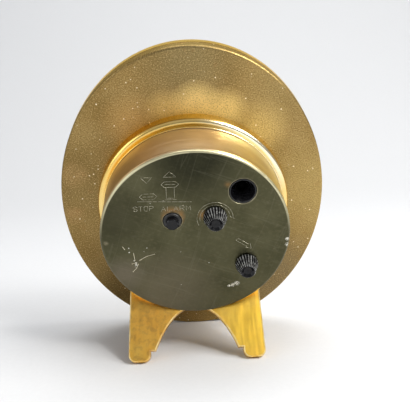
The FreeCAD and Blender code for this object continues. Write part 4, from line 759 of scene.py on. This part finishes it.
# %% [markdown]
# Inside are milled brass wheels, brushed plates, turned steel and a copper winding. They
# are sealed in, but a part that is opened later should look right too. One function makes
# a brushed metal of any colour, with its lines along a chosen direction.

# %% Brushed and turned metals inside
BRUSH_SIZE = 0.6
BRUSH_DEPTH = 0.02
ALONG_X = (0.1, 1.0, 1.0)
WOUND_ROUND = (1.0, 0.02, 0.02)
NO_LINES = (1.0, 1.0, 1.0)


def brushed(name, colour, roughness, stretch=ALONG_X, size=BRUSH_SIZE):
    """A metal with fine lines, lighter and rougher between them."""
    material, tree, shader, place = start(name, colour, 1.0, roughness)
    lines = noise(tree, place, size, 3.0, stretch)
    light = tuple(min(1.0, part * 1.25) for part in colour)
    shade = mixed(tree, span(tree, lines, 0.3, 0.7), colour, light)
    put(tree, shader.inputs["Base Color"], shade)
    rough = span(tree, lines, 0.3, 0.7, roughness, roughness + 0.14)
    put(tree, shader.inputs["Roughness"], rough)
    bump(tree, shader, lines, BRUSH_DEPTH, 0.5)
    return material


wheel_brass = brushed("wheel_brass", (0.62, 0.46, 0.17), 0.26, NO_LINES, 0.4)
dress(wheel_brass, "cannon_pinion", "minute_wheel", "hour_wheel", "alarm_wheel", "alarm_idler")
dress(brushed("plate_brass", (0.55, 0.42, 0.17), 0.30), "main_plate", "rear_bridge")
bright_gilt = brushed("bright_gilt", (0.78, 0.58, 0.25), 0.18)
dress(bright_gilt, "hour_markers", "alarm_hand", "reflector_ring")
steel = brushed("turned_steel", (0.50, 0.50, 0.50), 0.26)
dress(steel, "bracket_screws", "movement_screws", "bridge_screws", "bridge_pillars")
dress(steel, "alarm_stem", "stator", "stator_posts")
nickel = brushed("nickel_plate", (0.66, 0.64, 0.60), 0.18)
dress(nickel, "battery_plus", "battery_minus", "quartz_can", "alarm_contact")
dress(brushed("copper_winding", (0.45, 0.17, 0.07), 0.3, WOUND_ROUND, 0.18), "motor_coil")
dress(brushed("sintered_magnet", (0.09, 0.09, 0.10), 0.45, NO_LINES, 0.3), "rotor")

# %% [markdown]
# The crystal is clear mineral glass, with a very faint smear that only shows in the gloss.

# %% Glass
SMEAR_SIZE = 12.0


def mineral_glass():
    material, tree, shader, place = start("mineral_glass", (0.97, 0.985, 0.98), 0.0, 0.02)
    shader.inputs["Transmission Weight"].default_value = 1.0
    shader.inputs["IOR"].default_value = 1.5
    smear = noise(tree, place, SMEAR_SIZE, 3.0)
    put(tree, shader.inputs["Roughness"], span(tree, smear, 0.4, 0.7, 0.0, 0.05))
    return material


dress(mineral_glass(), "crystal")

# %% [markdown]
# The solids of the frame keep their shapes and only change their material, so each gets its
# finish in its first material slot. A solid without a finish would show in the print.

# %% Put the finishes on the nodes
for name, node in frame["nodes"].items():
    node.data.materials.clear()
    node.data.materials.append(FINISH[name])
missing = sorted(set(frame["nodes"]) - set(FINISH))
print("nodes dressed:", len(frame["nodes"]), "without a finish:", missing)

# %% [markdown]
# The cap is engraved: two small triangles, a button drawn out and a button drawn in, a
# base line, two words, a double arc round the middle knob and an arrow beside the lower
# one. An engraver's tool leaves a stroke of even width, so every mark is drawn as a line.
# Letters are strokes too, on a grid four wide and six high.

# %% Strokes of the letters
LETTER_WIDTH = 4
LETTER_HEIGHT = 6
LETTER_SHARE = 0.7
BOWL = [(0, 0), (0, 6), (3, 6), (4, 5), (4, 4), (3, 3), (0, 3)]
S_UPPER = [(4, 5), (3, 6), (1, 6), (0, 5), (0, 4), (1, 3)]
S_LOWER = [(3, 3), (4, 2), (4, 1), (3, 0), (1, 0), (0, 1)]
LETTERS = {
    "S": [S_UPPER + S_LOWER],
    "T": [[(0, 6), (4, 6)], [(2, 6), (2, 0)]],
    "O": [[(1, 0), (3, 0), (4, 1), (4, 5), (3, 6), (1, 6), (0, 5), (0, 1), (1, 0)]],
    "P": [BOWL],
    "A": [[(0, 0), (2, 6), (4, 0)], [(0.8, 2.2), (3.2, 2.2)]],
    "L": [[(0, 6), (0, 0), (4, 0)]],
    "R": [BOWL, [(2, 3), (4, 0)]],
    "M": [[(0, 0), (0, 6), (2, 2.5), (4, 6), (4, 0)]],
}


def word(text, left, right, low, height):
    """The strokes of a word between left and right, in clock millimetres."""
    pitch = (right - left) / (len(text) - 1 + LETTER_SHARE)
    width = pitch * LETTER_SHARE
    lines = []
    for index, letter in enumerate(text):
        begin = left + index * pitch
        for stroke in LETTERS[letter]:
            lines.append([
                (begin + u / LETTER_WIDTH * width, low + v / LETTER_HEIGHT * height)
                for u, v in stroke
            ])
    return lines


print("letters:", " ".join(LETTERS))

# %% [markdown]
# The pictograms show what the stop button does: drawn out it lets the alarm ring, and
# pushed in it stops it. The arcs and the arrow show which way the knobs are turned. Their
# places are in clock millimetres, as everything on the cap is.

# %% Marks on the cap
HEAD_FLAT = 0.62
ARC_STEPS = 28
ARC_MIDDLE = (6.44, 6.85)


def triangle(x, y, half_width, height):
    """A triangle that points up, or down if its height is negative."""
    low, high = y - height / 2, y + height / 2
    return [(x - half_width, low), (x + half_width, low), (x, high), (x - half_width, low)]


def button_head(x, y, half_width, half_height):
    """The flattened hexagon that stands for a button's head, with its middle line."""
    flat = half_width * HEAD_FLAT
    outline = [
        (x - half_width, y), (x - flat, y + half_height), (x + flat, y + half_height),
        (x + half_width, y), (x + flat, y - half_height), (x - flat, y - half_height),
        (x - half_width, y),
    ]
    return [outline, [(x - flat, y), (x + flat, y)]]


def arc(x, y, radius, first, last):
    """A line of short steps round a middle, from the first angle to the last, in degrees."""
    degrees = [first + (last - first) * step / ARC_STEPS for step in range(ARC_STEPS + 1)]
    angles = [math.radians(degree) for degree in degrees]
    return [(x + radius * math.cos(a), y + radius * math.sin(a)) for a in angles]


marks = [
    triangle(-14.67, 21.45, 1.7, -1.9),
    triangle(-7.45, 23.3, 1.95, 1.9),
    *button_head(-7.48, 19.76, 2.75, 1.0),
    [(-8.75, 18.76), (-8.75, 14.85), (-6.2, 14.85), (-6.2, 18.76)],
    [(-9.3, 14.35), (-5.5, 14.35)],
    *button_head(-14.46, 15.68, 2.75, 1.05),
    [(-17.96, 14.1), (-0.89, 13.29)],
    *word("STOP", -19.4, -13.1, 10.55, 1.7),
    *word("ALARM", -10.6, -1.3, 10.25, 1.7),
    arc(*ARC_MIDDLE, 5.8, 205, -2),
    arc(*ARC_MIDDLE, 4.9, 190, 4),
    [(11.34, 7.2), (12.7, 6.55), (12.24, 6.64)],
    [(16.8, -4.5), (13.2, -1.95), (13.9, -1.2), (17.4, -3.7)],
    [(16.4, -4.9), (18.3, -5.3), (17.9, -3.4)],
]
print("engraved lines:", len(marks))

# %% [markdown]
# One Geometry Nodes tree gives all lines the same narrow section: it sweeps a small circle
# along them, realizes the result and sets the material. The half width is an input of the
# tree, so engraving, scratches and print can each have their own.

# %% Tree of a stroke
STROKE_SIDES = 6


def stroke_tree(material):
    """The tree, and the identifier of its width input."""
    tree = bpy.data.node_groups.new("engraved_stroke", "GeometryNodeTree")
    face = tree.interface
    face.new_socket("Lines", in_out="INPUT", socket_type="NodeSocketGeometry")
    width = face.new_socket("Half width", in_out="INPUT", socket_type="NodeSocketFloat")
    face.new_socket("Strokes", in_out="OUTPUT", socket_type="NodeSocketGeometry")
    entry = tree.nodes.new("NodeGroupInput")
    leave = tree.nodes.new("NodeGroupOutput")
    section = tree.nodes.new("GeometryNodeCurvePrimitiveCircle")
    section.inputs["Resolution"].default_value = STROKE_SIDES
    sweep = tree.nodes.new("GeometryNodeCurveToMesh")
    sweep.inputs["Fill Caps"].default_value = True
    solid = tree.nodes.new("GeometryNodeRealizeInstances")
    paint = tree.nodes.new("GeometryNodeSetMaterial")
    paint.inputs["Material"].default_value = material
    tree.links.new(entry.outputs["Lines"], sweep.inputs["Curve"])
    tree.links.new(entry.outputs["Half width"], section.inputs["Radius"])
    tree.links.new(section.outputs["Curve"], sweep.inputs["Profile Curve"])
    tree.links.new(sweep.outputs["Mesh"], solid.inputs["Geometry"])
    tree.links.new(solid.outputs["Geometry"], paint.inputs["Geometry"])
    tree.links.new(paint.outputs["Geometry"], leave.inputs["Strokes"])
    return tree, width.identifier


print("a stroke has", STROKE_SIDES, "sides")

# %% [markdown]
# The lines become one curve object of straight splines with that tree as a modifier. The
# evaluated mesh is kept as the piece, and the working curve is thrown away. A stroke is
# half sunk in the surface that carries it, as the burr of a cut line is.


# %% A stroke along every line
def settle(source, name, body):
    """Keeps the evaluated mesh of a working object as a finished piece on a body."""
    bpy.context.view_layer.update()
    depsgraph = bpy.context.evaluated_depsgraph_get()
    mesh = bpy.data.meshes.new_from_object(source.evaluated_get(depsgraph))
    mesh.transform(source.matrix_world)
    piece = bpy.data.objects.new(name, mesh)
    bpy.context.scene.collection.objects.link(piece)
    bpy.data.objects.remove(source)
    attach(piece, body)
    print(name, "faces:", len(mesh.polygons))


def swept(name, lines, height, half_width, material, body):
    """Lines in clock millimetres at one height, as strokes of that half width."""
    curve = bpy.data.curves.new(f"{name}_lines", "CURVE")
    curve.dimensions = "3D"
    for line in lines:
        spline = curve.splines.new("POLY")
        spline.points.add(len(line) - 1)
        for point, (x, y) in zip(spline.points, line):
            point.co = (*clock_place(x, y, height), 1.0)
    source = bpy.data.objects.new(f"{name}_source", curve)
    bpy.context.scene.collection.objects.link(source)
    tree, width = stroke_tree(material)
    modifier = source.modifiers.new("strokes", "NODES")
    modifier.node_group = tree
    modifier[width] = half_width * MM
    settle(source, name, body)


print("stroke functions ready")

# %% [markdown]
# The engraving has filled with dirt in places and is rubbed bright in others, so its
# material changes along the strokes with noise a little over half a millimetre wide.

# %% Engraving of the cap
ENGRAVED_HALF_WIDTH = 0.075
WEAR_SIZE = 0.6
DIRTY_STROKE = (0.16, 0.148, 0.095)
BRIGHT_STROKE = (0.50, 0.47, 0.36)


def worn_stroke():
    material, tree, shader, place = start("worn_stroke", (0.3, 0.28, 0.2), 1.0, 0.45)
    wear = span(tree, noise(tree, place, WEAR_SIZE, 4.0), 0.34, 0.54)
    put(tree, shader.inputs["Base Color"], mixed(tree, wear, DIRTY_STROKE, BRIGHT_STROKE))
    put(tree, shader.inputs["Roughness"], span(tree, wear, 0.0, 1.0, 0.5, 0.35))
    return material


swept("cap_engraving", marks, CAP_Z, ENGRAVED_HALF_WIDTH, worn_stroke(), "case")

# %% [markdown]
# A few deep scratches on the cap catch the light. They are strokes as well, a little
# thinner and brighter, at the places where a tool once slipped.

# %% Deep scratches on the cap
SCRATCH_HALF_WIDTH = 0.07
slips = [
    [(-20.6, -5.2), (-20.3, -8.4)],
    [(-21.5, -9.6), (-19.8, -9.2)],
    [(-18.8, -8.3), (-16.6, -6.9), (-13.6, -6.0)],
    [(-19.2, -9.6), (-20.0, -11.4), (-21.4, -12.9)],
    [(-24.0, -2.6), (-23.2, -3.9)],
]
bare_metal = brushed("bare_metal", (0.80, 0.74, 0.56), 0.3, NO_LINES)
swept("cap_scratches", slips, CAP_Z, SCRATCH_HALF_WIDTH, bare_metal, "case")

# %% [markdown]
# The dial's minute track follows the oval opening: a short printed line for each minute
# between the hour markers. The lines are spaced by angle and point to the middle, and the
# same stroke tree gives them their width.

# %% Printed minute track
DIAL_Z = clock_z("dial", min)
TRACK_HALF_WIDTH = 33.0
TRACK_HALF_HEIGHT = 42.8
TICK_LENGTH = 1.3
TICK_HALF_WIDTH = 0.07
MINUTES = 60
MINUTES_PER_MARKER = 5


def on_oval(angle, inset):
    """A point of the track's oval at an angle from twelve o'clock, moved in by inset."""
    ray = Vector((-math.sin(angle), math.cos(angle)))
    reach = 1 / math.hypot(ray.x / TRACK_HALF_WIDTH, ray.y / TRACK_HALF_HEIGHT)
    return tuple(ray * (reach - inset))


minute_angles = [
    2 * math.pi * minute / MINUTES for minute in range(MINUTES) if minute % MINUTES_PER_MARKER
]
ticks = [[on_oval(angle, 0.0), on_oval(angle, TICK_LENGTH)] for angle in minute_angles]
print_ink = moulded("print_ink", (0.015, 0.015, 0.015), 0.35)
swept("minute_track", ticks, DIAL_Z, TICK_HALF_WIDTH, print_ink, "case")

# %% [markdown]
# The date ring carries the numbers 1 to 31. Text is made a mesh at once, so that each
# number can be placed in the mesh itself: upright where it passes the window, and read
# from the front, which is the mirror image of the view from behind.


# %% Text and joined meshes
def printed_number(text, height, depth, matrix, material):
    """The mesh of a number, placed by a matrix."""
    curve = bpy.data.curves.new(f"number_{text}", "FONT")
    curve.body = text
    curve.size = height * MM
    curve.align_x = "CENTER"
    curve.align_y = "CENTER"
    curve.extrude = depth * MM
    source = bpy.data.objects.new(f"number_{text}", curve)
    bpy.context.scene.collection.objects.link(source)
    bpy.context.view_layer.update()
    mesh = bpy.data.meshes.new_from_object(source)
    bpy.data.objects.remove(source)
    mesh.transform(matrix)
    mesh.materials.clear()
    mesh.materials.append(material)
    return mesh


def joined(meshes, name):
    """One mesh out of many."""
    vertices, faces = [], []
    for mesh in meshes:
        first = len(vertices)
        vertices.extend(vertex.co.copy() for vertex in mesh.vertices)
        faces.extend([first + index for index in face.vertices] for face in mesh.polygons)
    whole = bpy.data.meshes.new(name)
    whole.from_pydata(vertices, [], faces)
    whole.materials.append(meshes[0].materials[0])
    return whole


print("number functions ready")

# %% [markdown]
# The window is at three o'clock, on the minus x side as seen from behind, and shows the
# twelfth. The other numbers follow round the ring at even steps, a hundredth of a
# millimetre in front of it. They ride on the ring, so they turn with it.

# %% Numbers on the date ring
DAYS = 31
SHOWN_DAY = 12
DATE_RADIUS = 22.8
NUMBER_HEIGHT = 2.6
NUMBER_DEPTH = 0.01
DATE_Z = clock_z("date_ring", min)
FRONT_VIEW = Matrix.Rotation(math.pi, 4, "Y")
window_shift = Vector((-DATE_RADIUS * MM, 0.0, (DATE_Z - NUMBER_DEPTH) * MM))
numbers = []
for day in range(1, DAYS + 1):
    turn = Matrix.Rotation(2 * math.pi * (day - SHOWN_DAY) / DAYS, 4, "Z")
    place = CLOCK @ turn @ Matrix.Translation(window_shift) @ FRONT_VIEW
    numbers.append(printed_number(str(day), NUMBER_HEIGHT, NUMBER_DEPTH, place, print_ink))
date_numbers = bpy.data.objects.new("date_numbers", joined(numbers, "date_numbers"))
bpy.context.scene.collection.objects.link(date_numbers)
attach(date_numbers, "date_disc")
print("date numbers:", len(numbers))

# %% [markdown]
# The set is a plain pale sweep: a floor that curves up into a backdrop, so that no edge
# shows behind the clock. It is wide enough to fill the reflections in the gilt.

# %% Floor and backdrop
FLOOR_REACH = 1.6
BACK_AT = -0.75
BEND = 0.45
BEND_STEPS = 12
BACK_HEIGHT = 1.7
FIBRE_SIZE = 1.5
profile = [(FLOOR_REACH, 0.0), (BACK_AT + BEND, 0.0)]
for step in range(1, BEND_STEPS + 1):
    angle = math.radians(90 * step / BEND_STEPS)
    profile.append((BACK_AT + BEND - BEND * math.sin(angle), BEND - BEND * math.cos(angle)))
profile.append((BACK_AT, BACK_HEIGHT))
corners, quads = [], []
for index, (y, z) in enumerate(profile):
    corners += [(-FLOOR_REACH, y, z), (FLOOR_REACH, y, z)]
    if index:
        quads.append([2 * index - 2, 2 * index - 1, 2 * index + 1, 2 * index])
sweep_mesh = bpy.data.meshes.new("studio_sweep")
sweep_mesh.from_pydata(corners, [], quads)
sweep_mesh.shade_smooth()
studio_sweep = bpy.data.objects.new("studio_sweep", sweep_mesh)
bpy.context.scene.collection.objects.link(studio_sweep)
paper, paper_tree, paper_shader, paper_place = start("pale_paper", (0.62, 0.63, 0.65), 0.0, 0.8)
fibres = noise(paper_tree, paper_place, FIBRE_SIZE, 3.0)
paper_tint = mixed(paper_tree, fibres, (0.60, 0.61, 0.63), (0.64, 0.65, 0.67))
put(paper_tree, paper_shader.inputs["Base Color"], paper_tint)
studio_sweep.data.materials.append(paper)
print("sweep faces:", len(quads))

# %% [markdown]
# A window to the upper right of the picture lit the clock, so the key light is a large
# soft panel there, on the room's minus x side. A small panel beside it makes sharper
# glints, a wide one overhead lights the upper faces, and a weak one from the left keeps
# the dark side open.

# %% Lights
CLOCK_MIDDLE = (0.0, 0.0, 0.055)


def panel(name, place, width, height, watts, tint):
    """A rectangular lamp that looks at the middle of the clock."""
    lamp = bpy.data.lights.new(name, "AREA")
    lamp.shape = "RECTANGLE"
    lamp.size = width
    lamp.size_y = height
    lamp.energy = watts
    lamp.color = tint
    light = bpy.data.objects.new(name, lamp)
    light.location = place
    ahead = Vector(CLOCK_MIDDLE) - Vector(place)
    light.rotation_euler = ahead.to_track_quat("-Z", "Y").to_euler()
    bpy.context.scene.collection.objects.link(light)
    print(name, watts, "W")


panel("key_panel", (-0.55, 0.30, 0.62), 0.55, 0.40, 7.6, (1.0, 0.98, 0.94))
panel("glint_panel", (-0.42, 0.42, 0.58), 0.10, 0.16, 1.6, (1.0, 0.99, 0.96))
panel("top_panel", (-0.05, -0.15, 0.85), 0.6, 0.5, 3.6, (1.0, 0.99, 0.97))
panel("fill_panel", (0.75, 0.35, 0.30), 0.5, 0.5, 1.6, (0.93, 0.96, 1.0))

# %% [markdown]
# The world is a dim grey that is a little lighter overhead, which gives the gilt something
# to reflect where it faces no lamp and no paper.

# %% World
LOW_SKY = (0.20, 0.21, 0.22)
HIGH_SKY = (0.50, 0.50, 0.50)
world = bpy.data.worlds.new("studio_world")
bpy.context.scene.world = world
world.use_nodes = True
sky = world.node_tree
outward = sky.nodes.new("ShaderNodeTexCoord").outputs["Generated"]
direction = add(sky, "ShaderNodeSeparateXYZ", Vector=outward)
rise = span(sky, direction.outputs["Z"], -0.2, 0.9)
put(sky, sky.nodes["Background"].inputs["Color"], mixed(sky, rise, LOW_SKY, HIGH_SKY))
put(sky, sky.nodes["Background"].inputs["Strength"], 1.0)
print("world:", world.name)

# %% [markdown]
# The camera stands behind the clock and a little above it. Its place and the point that it
# looks at are given in clock millimetres, so it keeps its view of the back cap if the
# clock's lean changes. The lens gives the picture's field of view for a 36 mm wide sensor.

# %% Camera
VIEW_FROM = clock_place(-3.3, 112.3, 196.5)
VIEW_AT = clock_place(3.32, 13.36, 23.7)
ROLL = math.radians(-1.26)
LENS = 55.45
SENSOR = 36.0
NEAREST = 0.01
forward = (VIEW_AT - VIEW_FROM).normalized()
level_right = forward.cross(upward).normalized()
level_up = level_right.cross(forward)
right = level_right * math.cos(ROLL) + level_up * math.sin(ROLL)
up = right.cross(forward)
camera_data = bpy.data.cameras.new("camera")
camera_data.lens = LENS
camera_data.sensor_width = SENSOR
camera_data.clip_start = NEAREST
camera = bpy.data.objects.new("camera", camera_data)
camera.matrix_world = Matrix((right, up, -forward)).transposed().to_4x4()
camera.location = VIEW_FROM
bpy.context.scene.collection.objects.link(camera)
bpy.context.scene.camera = camera
bpy.context.scene.view_settings.view_transform = "Standard"
print("camera at", tuple(round(part, 4) for part in camera.location))
